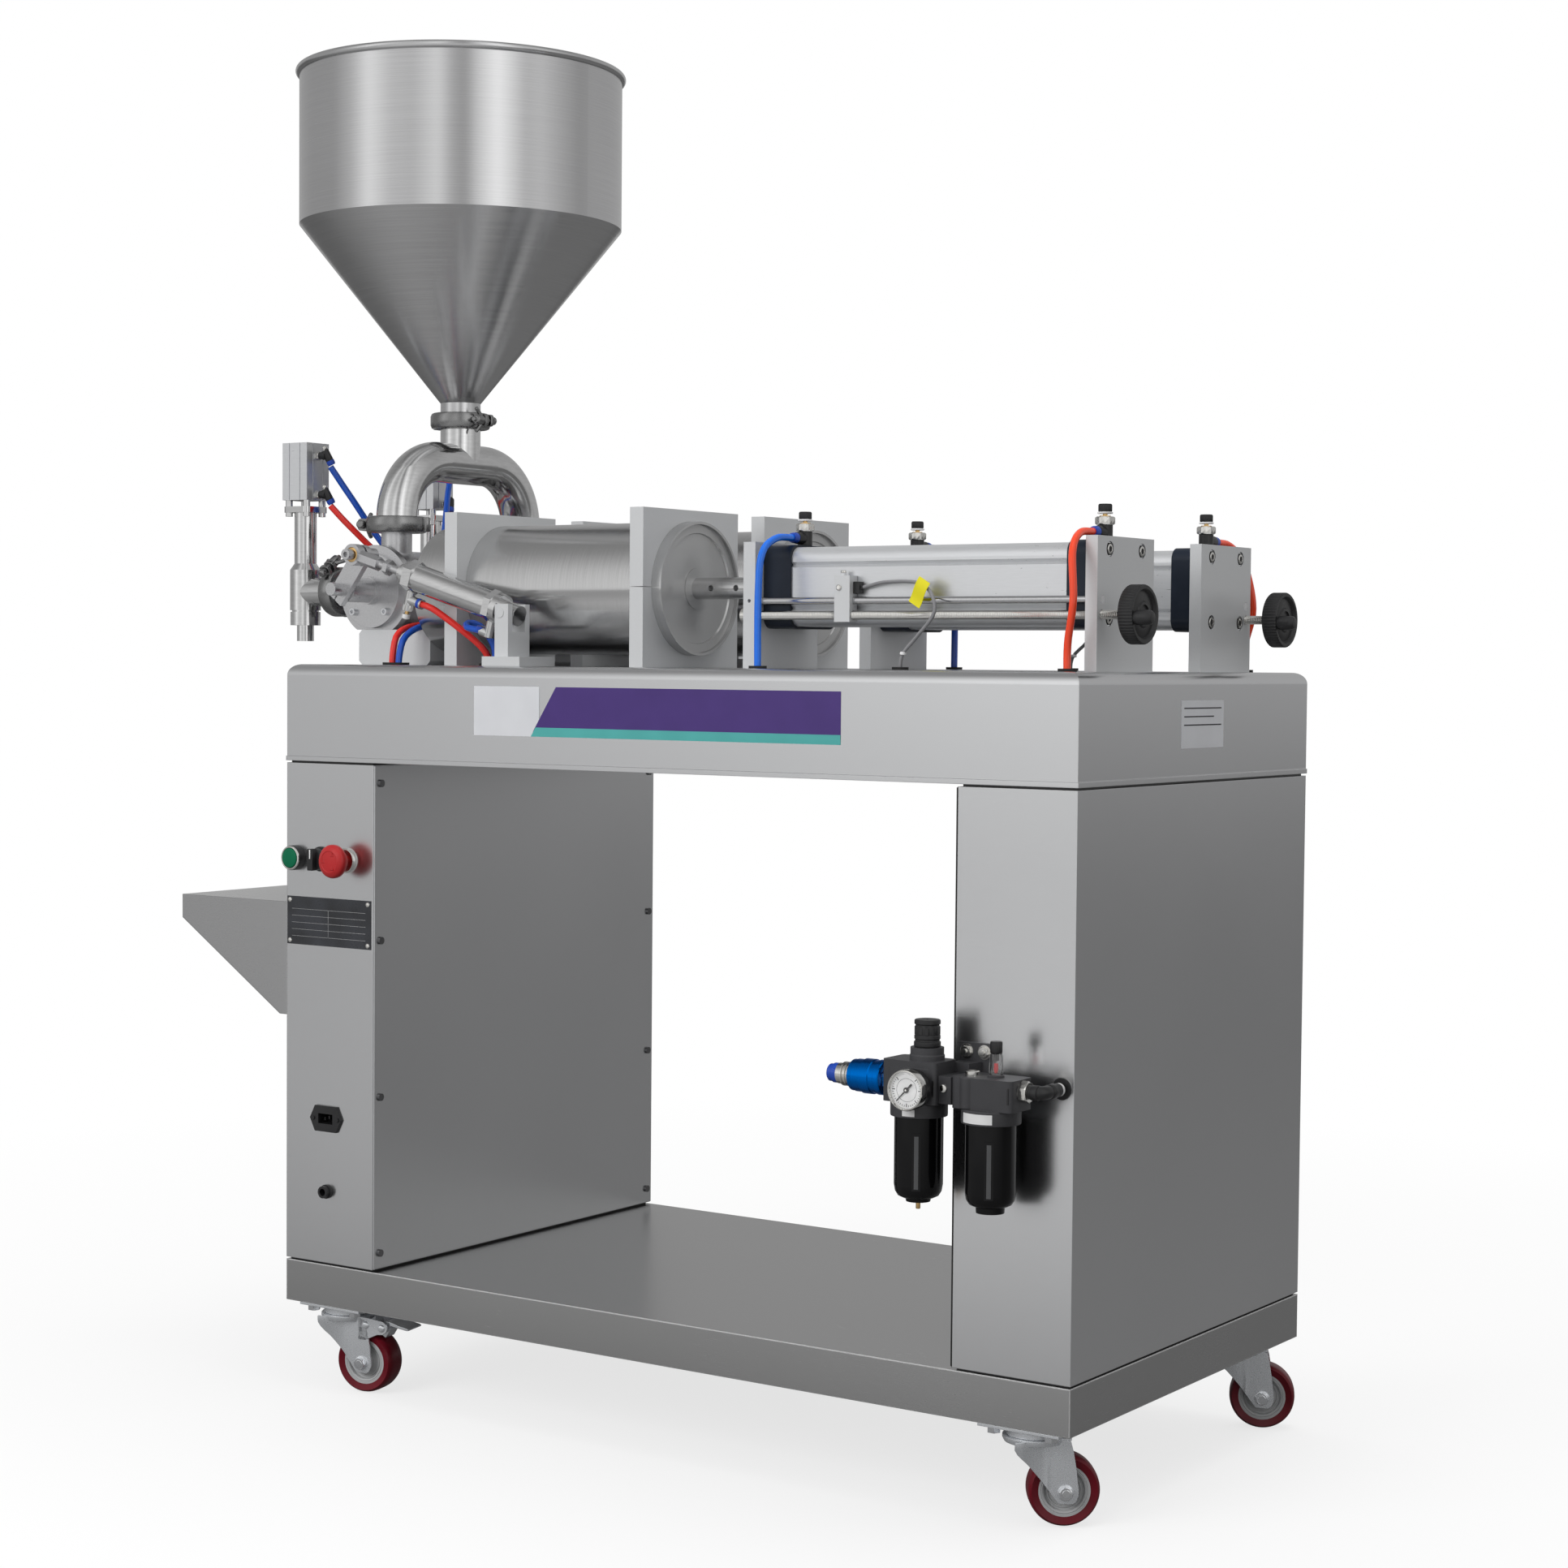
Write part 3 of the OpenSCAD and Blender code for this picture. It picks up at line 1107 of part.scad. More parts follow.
// Nozzles
collar_z = axis_z - 42;
nozzle_bore = 31;
module nozzle_bodies() color(steel) both() {
    difference() {
        union() {
            nozzle_body_side();
            nozzle_outer_round();
        }
        rz(nozzle_bore, axis_z - 24, axis_z + 24, nozzle_x, line_y);
        rz(stem_d + 2 * fit, axis_z, nozzle_flange_z + nozzle_flange_t + eps, nozzle_x, line_y);
        rx(port_d - 5, nozzle_x, outlet_joint + eps, line_y, axis_z);
    }
    difference() {
        union() {
            rz(nozzle_d - 1, collar_z, axis_z - 25, nozzle_x, line_y);
            rz(nozzle_bore + 3, axis_z - 25, axis_z - 23, nozzle_x, line_y);
        }
        rz(nozzle_bore, collar_z + 6, axis_z - 22, nozzle_x, line_y);
        rz(tip_d - 3, collar_z - eps, collar_z + 7, nozzle_x, line_y);
    }
    difference() {
        rz(tip_d, collar_z - tip_l, collar_z, nozzle_x, line_y);
        rz(tip_d - 3, collar_z - tip_l - eps, collar_z + eps, nozzle_x, line_y);
    }
    for (i = [-1, 1], j = [-1, 1]) {
        x = nozzle_x + i * (block_w / 2 - 6);
        y = line_y + j * (block_d / 2 - 6);
        rz(standoff_d, nozzle_flange_z - 5, nozzle_flange_z, x, y);
        rz(standoff_d, nozzle_flange_z + nozzle_flange_t, lift_z0, x, y);
    }
}
module nozzle_outer_round() {
    rz(nozzle_d, axis_z - 23, axis_z + 28, nozzle_x, line_y);
    translate([nozzle_x, line_y, axis_z + 28]) cylinder(d1 = nozzle_d, d2 = tube_d, h = 8);
    rz(tube_d, axis_z + 36, nozzle_flange_z, nozzle_x, line_y);
    translate([nozzle_x, line_y, nozzle_flange_z]) linear_extrude(nozzle_flange_t)
        rounded(block_w, block_d, 6);
}
module nozzle_body_side() {
    rx(port_d + 1, nozzle_x, outlet_joint, line_y, axis_z);
    rx(small_ferrule_d, outlet_joint - ferrule_t, outlet_joint, line_y, axis_z);
}
module nozzle_stem() color(steel) {
    rz(tip_d - 3.6, collar_z - tip_l + 1, collar_z + 3, nozzle_x, line_y);
    rz(stem_d, collar_z + 3, lift_z0 + 22, nozzle_x, line_y);
    rz(lift_bore - 2 * fit, lift_z0 + 10, lift_z0 + 22, nozzle_x, line_y);
}
module nozzle_stem_near() nozzle_stem();
module nozzle_stem_far() mirror([0, 1, 0]) nozzle_stem();

// Fittings, glands and hoses
hose_d = 8;
gland_t = 3;
gland_h = 3;
collar_d = 12;
cap_top = axis_z + cap_w / 2;
// x, y and hole of each gland on the near side; the last number counts its lines
grommet_at = [[105, -210, hose_d, 1], [491, -210, hose_d, 1], [-424, -210, 20, 2], [-290, -190, 20, 2],
              [277, -190, 6, 1]];
valve_port_z = cap_top + 8.5;
valve_port_x = [aplate_x1 + cap_f / 2 + 6, barrel_x1 + cap_r / 2 + 4];
port_y = line_y - 26;
elbow_z = [lift_z0 + block_h - 16, lift_z0 + 7];
module air_fittings() color(black) both() {
    for (x = valve_port_x) {
        rz(16.4, cap_top, cap_top + 16.5, x, line_y);
        hex_z(18.5, cap_top + 16.5, cap_top + 25, x, line_y);
        rz(5, cap_top + 25, cap_top + 28, x, line_y);
        rz(16.3, cap_top + 28, cap_top + 30, x, line_y);
        rz(14.6, cap_top + 30, cap_top + 38.5, x, line_y);
        ry(collar_d, port_y, line_y, x, valve_port_z);
    }
    for (z = elbow_z) {
        x = nozzle_x + block_w / 2;
        rx(10, x, x + 12, line_y, z);
        rz(11, z - 7, z + 6, x + 13, line_y);
        bar([x + 13, line_y, z - 2], [x + 13, line_y, z - 2] + elbow_way, collar_d);
    }
}
module grommets() color(black) both() for (g = grommet_at) difference() {
    union() {
        rz(g[2] + 2 * gland_t + 6, deck_z, deck_z + gland_h, g[0], g[1]);
        rz(g[2] + 2 * gland_t, deck_z - sheet - 2, deck_z, g[0], g[1]);
    }
    for (k = [1:g[3]])
        rz((g[3] == 1 ? g[2] : hose_d) + 0.4, deck_z - sheet - 4, deck_z + gland_h + eps,
           g[0] + (g[3] == 1 ? 0 : 10 * k - 15), g[1]);
}
// Route points of the near line's hoses, chosen by eye
hose_end = deck_z - 12;
elbow_way = [4, 5, -12];
elbow_end = [nozzle_x + block_w / 2 + 13, line_y, -2] + elbow_way;
elbow_out = elbow_end + 0.02 * elbow_way;
elbow_on = elbow_end + 0.3 * elbow_way;
module air_hoses() color([0, 0.35, 0.8]) both() {
    hose([[valve_port_x[0], port_y - 0.5, valve_port_z], [106, -178, 1021], [105, -203, 1004],
          [105, -210, 960], [105, -210, hose_end]], hose_d);
    hose([[valve_port_x[1], port_y - 0.5, valve_port_z], [486, -178, 1020], [492, -204, 1000],
          [499, -214, 950], [491, -210, 905], [491, -210, hose_end]], hose_d);
    hose([elbow_out + [0, 0, elbow_z[1]], elbow_on + [0, 0, elbow_z[1]], [-602, -100, 1052],
          [-570, -66, 1008], [-515, -60, 974], [-456, -52, 940], [-430, -78, 927], [-426, -160, 926],
          [-428, -200, 916], [-429, -210, 890], [-429, -210, hose_end]], hose_d);
    hose([elbow_out + [0, 0, elbow_z[0]], elbow_on + [0, 0, elbow_z[0]], [-606, -92, 1088],
          [-576, -56, 1022], [-520, -44, 978], [-448, -38, 938], [-418, -72, 927], [-415, -160, 926],
          [-418, -199, 912], [-419, -210, 886], [-419, -210, hose_end]], hose_d);
}
module valve_hoses() color([0.8, 0.15, 0.1]) both() {
    c = [cos(vcyl_a), 0, -sin(vcyl_a)];
    n = [-sin(vcyl_a), 0, -cos(vcyl_a)];
    p = [pin_x, clevis_y, pin_z];
    hose([p - c * (tube_1 - 14.3) + n * 28, p - c * (tube_1 - 30) + n * 28, [-322, -219, 924],
          [-300, -200, 900], [-295, -190, deck_z + 6], [-295, -190, hose_end]], hose_d);
    hose([p - c * 37.3 + n * 32, [-298, -227, 922], [-304, -218, 927], [-297, -205, 924],
          [-287, -193, 903], [-285, -190, deck_z + 6], [-285, -190, hose_end]], hose_d);
}
lead_d = 4;
module sensor_leads() color([0.5, 0.5, 0.5]) both()
    hose([[block_x + block_l + 8.3, block_y1 - 4, guide_z + 14], [250, -172, 972], [300, -181, 968],
          [318, -188, 940], [298, -192, 912], [279, -190, 892], [277, -190, hose_end]], lead_d);

base_tray();
left_column();
right_column();
hood();
inner_covers();
shelf();
screws();
caster_plates();
caster_fork_fl();
caster_fork_fr();
caster_fork_rl();
caster_fork_rr();
caster_wheel_fl();
caster_wheel_fr();
caster_wheel_rl();
caster_wheel_rr();
caster_brake_fl();
start_button();
selector_knob();
estop_button();
switch_bases();
panel_sockets();
control_gear();
frl_body();
frl_bowls();
pressure_gauge();
gauge_needle();
regulator_knob();
lubricator_knob();
shutoff_sleeve();
hopper();
manifold();
pipe_clamps();
valve_bodies();
valve_mounts();
product_cylinders();
machine_plates();
air_cylinder_barrels();
air_cylinder_caps();
guide_rods();
nozzle_bodies();
valve_arm_near();
valve_arm_far();
valve_cylinder_near();
valve_cylinder_far();
valve_rod_near();
valve_rod_far();
nozzle_stem_near();
nozzle_stem_far();
piston_near();
piston_far();
sensor_block_near();
sensor_block_far();
hand_wheel_near();
hand_wheel_far();
air_fittings();
grommets();
air_hoses();
valve_hoses();
sensor_leads();
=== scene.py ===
import math
import bpy
import numpy as np
from mathutils import Matrix, Vector


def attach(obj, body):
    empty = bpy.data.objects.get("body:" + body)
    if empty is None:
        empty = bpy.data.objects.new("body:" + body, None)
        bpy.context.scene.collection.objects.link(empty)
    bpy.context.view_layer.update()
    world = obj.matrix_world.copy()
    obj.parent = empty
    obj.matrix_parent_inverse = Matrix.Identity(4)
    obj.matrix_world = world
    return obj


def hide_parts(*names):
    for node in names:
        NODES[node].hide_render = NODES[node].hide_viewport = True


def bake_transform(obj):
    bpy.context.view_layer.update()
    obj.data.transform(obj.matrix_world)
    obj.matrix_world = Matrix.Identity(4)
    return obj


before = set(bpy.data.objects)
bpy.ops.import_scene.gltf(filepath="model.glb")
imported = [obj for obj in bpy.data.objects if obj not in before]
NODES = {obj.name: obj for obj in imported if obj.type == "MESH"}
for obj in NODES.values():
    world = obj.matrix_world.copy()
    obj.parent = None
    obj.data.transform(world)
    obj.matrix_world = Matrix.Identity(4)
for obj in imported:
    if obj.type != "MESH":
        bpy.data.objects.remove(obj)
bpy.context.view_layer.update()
scene = bpy.context.scene
scene.view_settings.view_transform = "Standard"

# ---------------------------------------------------------------- camera
# The photograph's viewpoint in metres, yaw, pitch and roll in radians, focal length in pixels
EYE = Vector((1.918919, -2.824247, 0.883759))
YAW, PITCH, ROLL, FOCAL = 0.597152, 0.041935, 0.008486, 3564.589
PHOTO_WIDTH, SENSOR = 1932, 36
ahead = Vector((-math.sin(YAW) * math.cos(PITCH), math.cos(YAW) * math.cos(PITCH), -math.sin(PITCH)))
right = Vector((math.cos(YAW), math.sin(YAW), 0))
up = right.cross(ahead)
rolled_right = right * math.cos(ROLL) + up * math.sin(ROLL)
rolled_up = -right * math.sin(ROLL) + up * math.cos(ROLL)
cam_data = bpy.data.cameras.new("camera")
cam_data.sensor_width = SENSOR
cam_data.lens = FOCAL / PHOTO_WIDTH * SENSOR
cam_data.clip_start = 0.05
cam_data.clip_end = 100
camera = bpy.data.objects.new("camera", cam_data)
scene.collection.objects.link(camera)
turn = Matrix((rolled_right, rolled_up, -ahead)).transposed()
camera.matrix_world = Matrix.Translation(EYE) @ turn.to_4x4()
scene.camera = camera


# ---------------------------------------------------------------- node helpers
class Tree:
    """Builds shader nodes with few words."""

    def __init__(self, owner):
        owner.use_nodes = True
        self.t = owner.node_tree
        self.t.nodes.clear()

    def n(self, kind, ins=None, **values):
        """A node with its settings. A socket in ins is linked, anything else is the input's value."""
        node = self.t.nodes.new(kind)
        for k, v in values.items():
            setattr(node, k, v)
        for k, v in (ins or {}).items():
            if isinstance(v, bpy.types.NodeSocket):
                self.t.links.new(v, node.inputs[k])
            else:
                node.inputs[k].default_value = v
        return node

    def out(self, kind, ins, **values):
        return self.n(kind, ins, **values).outputs[0]

    def math(self, op, a, b=None):
        return self.out("ShaderNodeMath", {0: a} if b is None else {0: a, 1: b}, operation=op)

    def times(self, a, b):
        return self.math("MULTIPLY", a, b)

    def combine(self, x, y, z):
        return self.out("ShaderNodeCombineXYZ", {0: x, 1: y, 2: z})

    def split(self, v):
        return self.n("ShaderNodeSeparateXYZ", {0: v}).outputs

    def place(self, what="Position"):
        """X, Y and Z of the shaded point's position or normal."""
        return self.split(self.n("ShaderNodeNewGeometry").outputs[what])

    def noise(self, v, scale, detail=2.0, rough=0.5):
        ins = {"Vector": v, "Scale": scale, "Detail": detail, "Roughness": rough}
        return self.n("ShaderNodeTexNoise", ins).outputs["Fac"]

    def ramp(self, fac, stops):
        node = self.n("ShaderNodeValToRGB", {0: fac})
        e = node.color_ramp.elements
        for i, (pos, col) in enumerate(stops):
            if i > 1:
                e.new(pos)
            e[i].position = pos
            e[i].color = (*col, 1) if hasattr(col, "__len__") else (col, col, col, 1)
        return node.outputs[0]

    def span(self, fac, lo, hi, out_lo, out_hi):
        return self.out("ShaderNodeMapRange", {0: fac, 1: lo, 2: hi, 3: out_lo, 4: out_hi})

    def seen_directly(self):
        """1 for camera rays and rays through glass."""
        rays = self.n("ShaderNodeLightPath").outputs
        return self.math("MAXIMUM", rays["Is Camera Ray"], rays["Is Transmission Ray"])

    def glossy_ray(self):
        return self.n("ShaderNodeLightPath").outputs["Is Glossy Ray"]


# ---------------------------------------------------------------- world, floor and lamps
WHITE = (1, 1, 1, 1)
AMBIENT = 0.62
# Tall soft panels round the set, seen in metal only: degrees from +X, brightness
PANELS = [(-180, 0.4), (-150, 0.42), (-133, 0.68), (-118, 1.24), (-100, 0.8), (-84, 0.72), (-66, 1.1),
          (-56, 0.6), (-47, 0.42), (-38, 0.95), (-24, 1.5), (-4, 0.75), (8, 0.85), (25, 0.62),
          (43, 0.43), (57, 0.5), (75, 0.48), (110, 0.45), (179, 0.4)]
# Their brightness from straight down to straight up
PANEL_HEIGHTS = [(0, 0.25), (0.42, 0.45), (0.5, 1.0), (0.72, 0.95), (0.9, 0.75), (1, 0.7)]

world = bpy.data.worlds.new("studio")
scene.world = world
w = Tree(world)
d = w.split(w.n("ShaderNodeTexCoord").outputs["Generated"])
azimuth = w.math("ADD", w.math("DIVIDE", w.math("ARCTAN2", d[1], d[0]), 2 * math.pi), 0.5)
round_set = w.ramp(azimuth, [(a / 360 + 0.5, v) for a, v in PANELS])
height = w.ramp(w.span(d[2], -1, 1, 0, 1), PANEL_HEIGHTS)
tint = w.n("ShaderNodeMix", {"Factor": 1, 6: round_set, 7: height}, data_type="RGBA", blend_type="MULTIPLY")
soft = w.out("ShaderNodeBackground", {0: WHITE, 1: AMBIENT})
shine = w.out("ShaderNodeBackground", {0: tint.outputs[2], 1: 1.0})
white = w.out("ShaderNodeBackground", {0: WHITE, 1: 1.0})
room = w.out("ShaderNodeMixShader", {0: w.glossy_ray(), 1: soft, 2: shine})
w.n("ShaderNodeOutputWorld", {0: w.out("ShaderNodeMixShader", {0: w.seen_directly(), 1: room, 2: white})})

FLOOR_R, FLOOR_Z = 30, -0.0005
floor_mesh = bpy.data.meshes.new("floor")
rim = [(FLOOR_R * math.cos(a), FLOOR_R * math.sin(a), FLOOR_Z) for a in np.linspace(0, 2 * math.pi, 65)[:-1]]
floor_mesh.from_pydata(rim, [], [list(range(64))])
floor = bpy.data.objects.new("floor", floor_mesh)
scene.collection.objects.link(floor)
floor_mat = bpy.data.materials.new("floor")
f = Tree(floor_mat)
s = f.place()
away = f.math("SQRT", f.math("ADD", f.times(s[0], s[0]), f.times(s[1], s[1])))
# Its white share grows with the distance, so that the object's shadow shows near it
far = f.span(away, 0.8, 2.4, 0.74, 1.0)
seen = f.seen_directly()
# What metal sees of it glows, and the glow is cut down under the object and to the left: painted shade in the floor's
# reflection
glossy = f.times(f.glossy_ray(), f.times(f.span(s[1], -2.2, -0.3, 0.62, 0.08), f.span(s[0], -2.3, -1.0, 0.6, 1.0)))
matte = f.out("ShaderNodeBsdfDiffuse", {0: f.ramp(seen, [(0, 0.15), (1, 0.9)])})
glow = f.out("ShaderNodeEmission", {0: WHITE, 1: 1.0})
share = f.math("MAXIMUM", f.times(seen, far), glossy)
f.n("ShaderNodeOutputMaterial", {0: f.out("ShaderNodeMixShader", {0: share, 1: matte, 2: glow})})
floor_mesh.materials.append(floor_mat)


def lamp(name, place, size, power):
    """A square lamp aimed at the middle of the machine."""
    data = bpy.data.lights.new(name, "AREA")
    data.shape = "SQUARE"
    data.size = size
    data.energy = power
    ob = bpy.data.objects.new(name, data)
    scene.collection.objects.link(ob)
    ob.location = place
    ob.rotation_euler = (Vector((0, 0, 0.8)) - Vector(place)).to_track_quat("-Z", "Y").to_euler()
    ob.visible_glossy = False


lamp("key", (-1.2, -4.2, 2.6), 2.6, 105)
lamp("top", (0.4, 0.3, 4.2), 2.8, 60)


# ---------------------------------------------------------------- materials
BUMP_HEIGHT = 0.0002


def bump(t, height_out, strength, bevel):
    """A bumped normal, rounded at edges by bevel metres."""
    ins = {"Strength": strength, "Distance": BUMP_HEIGHT, "Height": height_out}
    if bevel:
        ins["Normal"] = t.out("ShaderNodeBevel", {"Radius": bevel}, samples=4)
    return t.out("ShaderNodeBump", ins)


def principled(t, m, ins):
    t.n("ShaderNodeOutputMaterial", {0: t.out("ShaderNodeBsdfPrincipled", ins)})
    return m


def within(t, value, low, high):
    return t.times(t.math("GREATER_THAN", value, low), t.math("LESS_THAN", value, high))


# Masks: where each is 1, a metal takes its repaint
def end_faces(t):
    return t.math("GREATER_THAN", t.math("ABSOLUTE", t.place("Normal")[0]), 0.8)


# Faces pointing up, where the shelf gets its painted light
def painted_lit_tops(t):
    return t.math("GREATER_THAN", t.place("Normal")[2], 0.8)


def cover_screws(t):
    return within(t, t.place()[2], 0.16, 0.76)


def painted_fold_highlight(t):
    """Painted highlight: a bright line where a fold rounds the sheet's edge."""
    rounded = t.out("ShaderNodeBevel", {"Radius": 0.0024}, samples=4)
    plain = t.n("ShaderNodeNewGeometry").outputs["True Normal"]
    dot = t.n("ShaderNodeVectorMath", {0: rounded, 1: plain}, operation="DOT_PRODUCT")
    return t.span(dot.outputs["Value"], 0.99, 0.9, 0, 1)


LOW_REVEAL, HIGH_REVEAL, JOINT = (0.1549, 0.1576), (0.7584, 0.7609), (0.3965, 0.4016)
COLUMN_FRONT = -0.2735


def painted_reveal_shadows(t):
    """Shadow lines: the reveals below and above the columns and the joint beside the right one."""
    x, y, z = t.place()
    front = t.times(t.math("LESS_THAN", y, COLUMN_FRONT), t.math("LESS_THAN", z, HIGH_REVEAL[1]))
    level = t.math("MAXIMUM", within(t, z, *LOW_REVEAL), within(t, z, *HIGH_REVEAL))
    return t.math("MAXIMUM", t.times(within(t, x, *JOINT), front), level)


# How often the brush lines change along their own run
ALONG_SHEET, ALONG_RING = 60, 1.2


def metal(name, base, rough, kind="plain", centre=(0, 0, 0), aniso=0.6, lines=600, depth=0.25, bevel=0.0,
          vary=0.1, even=1.0, metallic=1.0, mask=None, repaint=None):
    """Brushed or turned metal. kind says which way its lines run, lines how many there are in a metre.
    Where mask is 1, the colour and the metallic share become repaint."""
    m = bpy.data.materials.new(name)
    t = Tree(m)
    at = t.n("ShaderNodeTexCoord").outputs["Object"]
    off = t.out("ShaderNodeVectorMath", {0: at, 1: [c * 0.001 for c in centre]}, operation="SUBTRACT")
    x, y, z = t.split(off)
    tangent = None
    if kind == "sheet":
        flat = t.math("GREATER_THAN", t.math("ABSOLUTE", t.place("Normal")[2]), 0.6)
        across = t.math("ADD", ALONG_SHEET, t.times(flat, lines))
        grain = t.combine(t.times(x, ALONG_SHEET), t.times(y, across), t.times(z, lines))
        tangent = t.combine(0.0, 0.02, 1.0)
    elif kind == "ring_z":
        grain = t.combine(t.times(t.math("ARCTAN2", y, x), ALONG_RING), 0.0, t.times(z, lines))
        tangent = t.combine(0.0, 0.02, 1.0)
    elif kind == "ring_x":
        grain = t.combine(t.times(t.math("ARCTAN2", y, z), ALONG_RING), 0.0, t.times(x, lines))
        tangent = t.combine(1.0, 0.0, 0.02)
    else:
        grain = t.combine(t.times(x, lines), t.times(y, lines), t.times(z, lines))
    fine = t.noise(grain, 1.0, 3, 0.6)
    mixed = t.math("ADD", t.times(fine, 0.6), t.times(t.noise(at, 3.5), 0.4))
    lo, hi = [c * (1 - vary) for c in base], [min(1, c * (1 + vary)) for c in base]
    colour = t.ramp(mixed, [(0.3, lo), (0.7, hi)])
    if mask:
        where = mask(t)
        pick = t.n("ShaderNodeMix", {"Factor": where, 6: colour, 7: (*repaint[:3], 1)}, data_type="RGBA")
        colour = pick.outputs[2]
        metallic = t.span(where, 0, 1, metallic, repaint[3])
    ins = {"Base Color": colour, "Metallic": metallic, "Normal": bump(t, fine, depth, bevel),
           "Roughness": t.span(mixed, 0.3, 0.7, rough * (1 - 0.2 * even), rough * (1 + 0.25 * even))}
    if tangent:
        ins |= {"Anisotropic": aniso, "Tangent": tangent}
    return principled(t, m, ins)


def plastic(name, base, rough=0.4, grain=900, depth=0.15, coat=0.0, spec=0.5, vary=0.12, bevel=0.0):
    m = bpy.data.materials.new(name)
    t = Tree(m)
    at = t.n("ShaderNodeTexCoord").outputs["Object"]
    fine = t.noise(at, grain)
    lo, hi = [c * (1 - vary) for c in base], [min(1, c * (1 + vary) + 0.003) for c in base]
    return principled(t, m, {
        "Base Color": t.ramp(t.noise(at, 25), [(0.3, lo), (0.7, hi)]), "Coat Weight": coat,
        "Roughness": t.span(fine, 0.3, 0.7, rough * 0.85, min(1, rough * 1.2)),
        "Specular IOR Level": spec, "Normal": bump(t, fine, depth, bevel)})


def glass(name, rough=0.02):
    m = bpy.data.materials.new(name)
    t = Tree(m)
    at = t.n("ShaderNodeTexCoord").outputs["Object"]
    return principled(t, m, {
        "Base Color": WHITE, "Transmission Weight": 1.0, "IOR": 1.45,
        "Roughness": t.span(t.noise(at, 200), 0.3, 0.7, rough, rough * 2)})


# What the folded sheets share, what the fasteners share
BRUSHED = dict(kind="sheet", aniso=0.5, lines=1800, depth=0.02, vary=0.02, even=0.25)
BRIGHT = dict(lines=600, depth=0.04)
TURNED = dict(kind="ring_x", aniso=0.3, lines=500)
# The sheets' repaint is painted shadow: near-black in the reveals at the columns' ends and in the joint beside the
# right column.
sheet_mat = metal("sheet_steel", (0.68, 0.685, 0.695), 0.24, **BRUSHED, bevel=0.0012, mask=painted_reveal_shadows,
                  repaint=(0.012, 0.012, 0.012, 0.0))
# The tray's repaint is a painted highlight: a near-white, less metallic line along its rounded folds.
tray_mat = metal("tray_steel", (0.48, 0.48, 0.48), 0.26, **BRUSHED, bevel=0.0024, mask=painted_fold_highlight,
                 repaint=(0.9, 0.9, 0.9, 0.2))
# The shelf's repaint is painted light: its tops lighter and less metallic, as if lit from above.
shelf_mat = metal("shelf_steel", (0.50, 0.50, 0.505), 0.28, **BRUSHED, bevel=0.002, mask=painted_lit_tops,
                  repaint=(0.6, 0.6, 0.6, 0.6))
hopper_mat = metal("hopper_steel", (0.60, 0.60, 0.605), 0.22, "ring_z", centre=(-504, 0, 0), aniso=0.8, lines=900)
pipe_mat = metal("polished_pipe", (0.62, 0.62, 0.62), 0.12, "sheet", aniso=0.2, lines=300, depth=0.1)
cyl_mat = metal("turned_cylinder", (0.58, 0.58, 0.58), 0.19, "ring_x", centre=(0, -120, 968), aniso=0.8, lines=900,
                even=0.35, mask=end_faces, repaint=(0.5, 0.5, 0.5, 0.35))
machined = metal("machined_steel", (0.6, 0.6, 0.61), 0.28, lines=400, depth=0.15, bevel=0.0005)
cast_mat = metal("cast_steel", (0.27, 0.27, 0.27), 0.24, depth=0.3, bevel=0.0008)
zinc_mat = metal("zinc_plate", (0.80, 0.82, 0.85), 0.26, lines=900, depth=0.04, vary=0.03, bevel=0.0008, metallic=0.75)
bolt_mat = metal("bright_bolt", (0.92, 0.95, 1.0), 0.16, **BRIGHT, bevel=0.0005)
screw_mat = metal("screw", (0.72, 0.73, 0.75), 0.2, **BRIGHT, bevel=0.0006, mask=cover_screws,
                  repaint=(0.2, 0.2, 0.205, 1.0))
nickel = metal("nickel", (0.72, 0.71, 0.68), 0.16, lines=300, depth=0.05, bevel=0.0004)
brass = metal("brass", (0.75, 0.5, 0.22), 0.25, lines=300, depth=0.05)
rod_mat = metal("ground_rod", (0.55, 0.55, 0.56), 0.16, **TURNED, centre=(0, -171, 952), depth=0.05)
blue_anod = metal("blue_anodised", (0.0, 0.16, 0.62), 0.3, **TURNED, centre=(0, -315, 458), depth=0.1)
anodised = metal("anodised_plate", (0.66, 0.67, 0.68), 0.4, lines=900, bevel=0.0008, vary=0.04, metallic=0.3)
profile_mat = metal("anodised_profile", (0.70, 0.71, 0.725), 0.32, "sheet", aniso=0.3, lines=500, depth=0.1,
                    vary=0.04, metallic=0.65)
navy_mat = plastic("navy_cap", (0.006, 0.011, 0.022), 0.35, bevel=0.0012, spec=0.3)
black_mat = plastic("black_plastic", (0.012, 0.012, 0.013), 0.38, bevel=0.0006)
black_gloss = plastic("black_gloss", (0.002, 0.002, 0.0025), 0.1, coat=0.1, spec=0.18, depth=0.03)
# Black rubber, also used as painted shade in the rear plates' screw sockets
rubber_and_shade_mat = plastic("black_rubber_and_painted_shade", (0.015, 0.015, 0.015), 0.7, depth=0.3)
frl_mat = plastic("frl_grey", (0.05, 0.05, 0.054), 0.42, grain=1400, depth=0.3, bevel=0.001, spec=0.35)
tyre_mat = plastic("red_tyre", (0.13, 0.0006, 0.008), 0.34, spec=0.3, vary=0.15)
hub_mat = plastic("grey_hub", (0.47, 0.475, 0.48), 0.4, vary=0.03, bevel=0.0008)
green_mat = plastic("green_button", (0.0, 0.135, 0.06), 0.35, spec=0.2)
red_mat = plastic("red_button", (0.47, 0.012, 0.014), 0.36, coat=0.05, bevel=0.001)
white_mat = plastic("white_plastic", (0.8, 0.8, 0.8), 0.35)
blue_ring = plastic("blue_collar", (0.01, 0.06, 0.42), 0.3)
gear_mat = plastic("grey_gear", (0.55, 0.55, 0.53), 0.5)

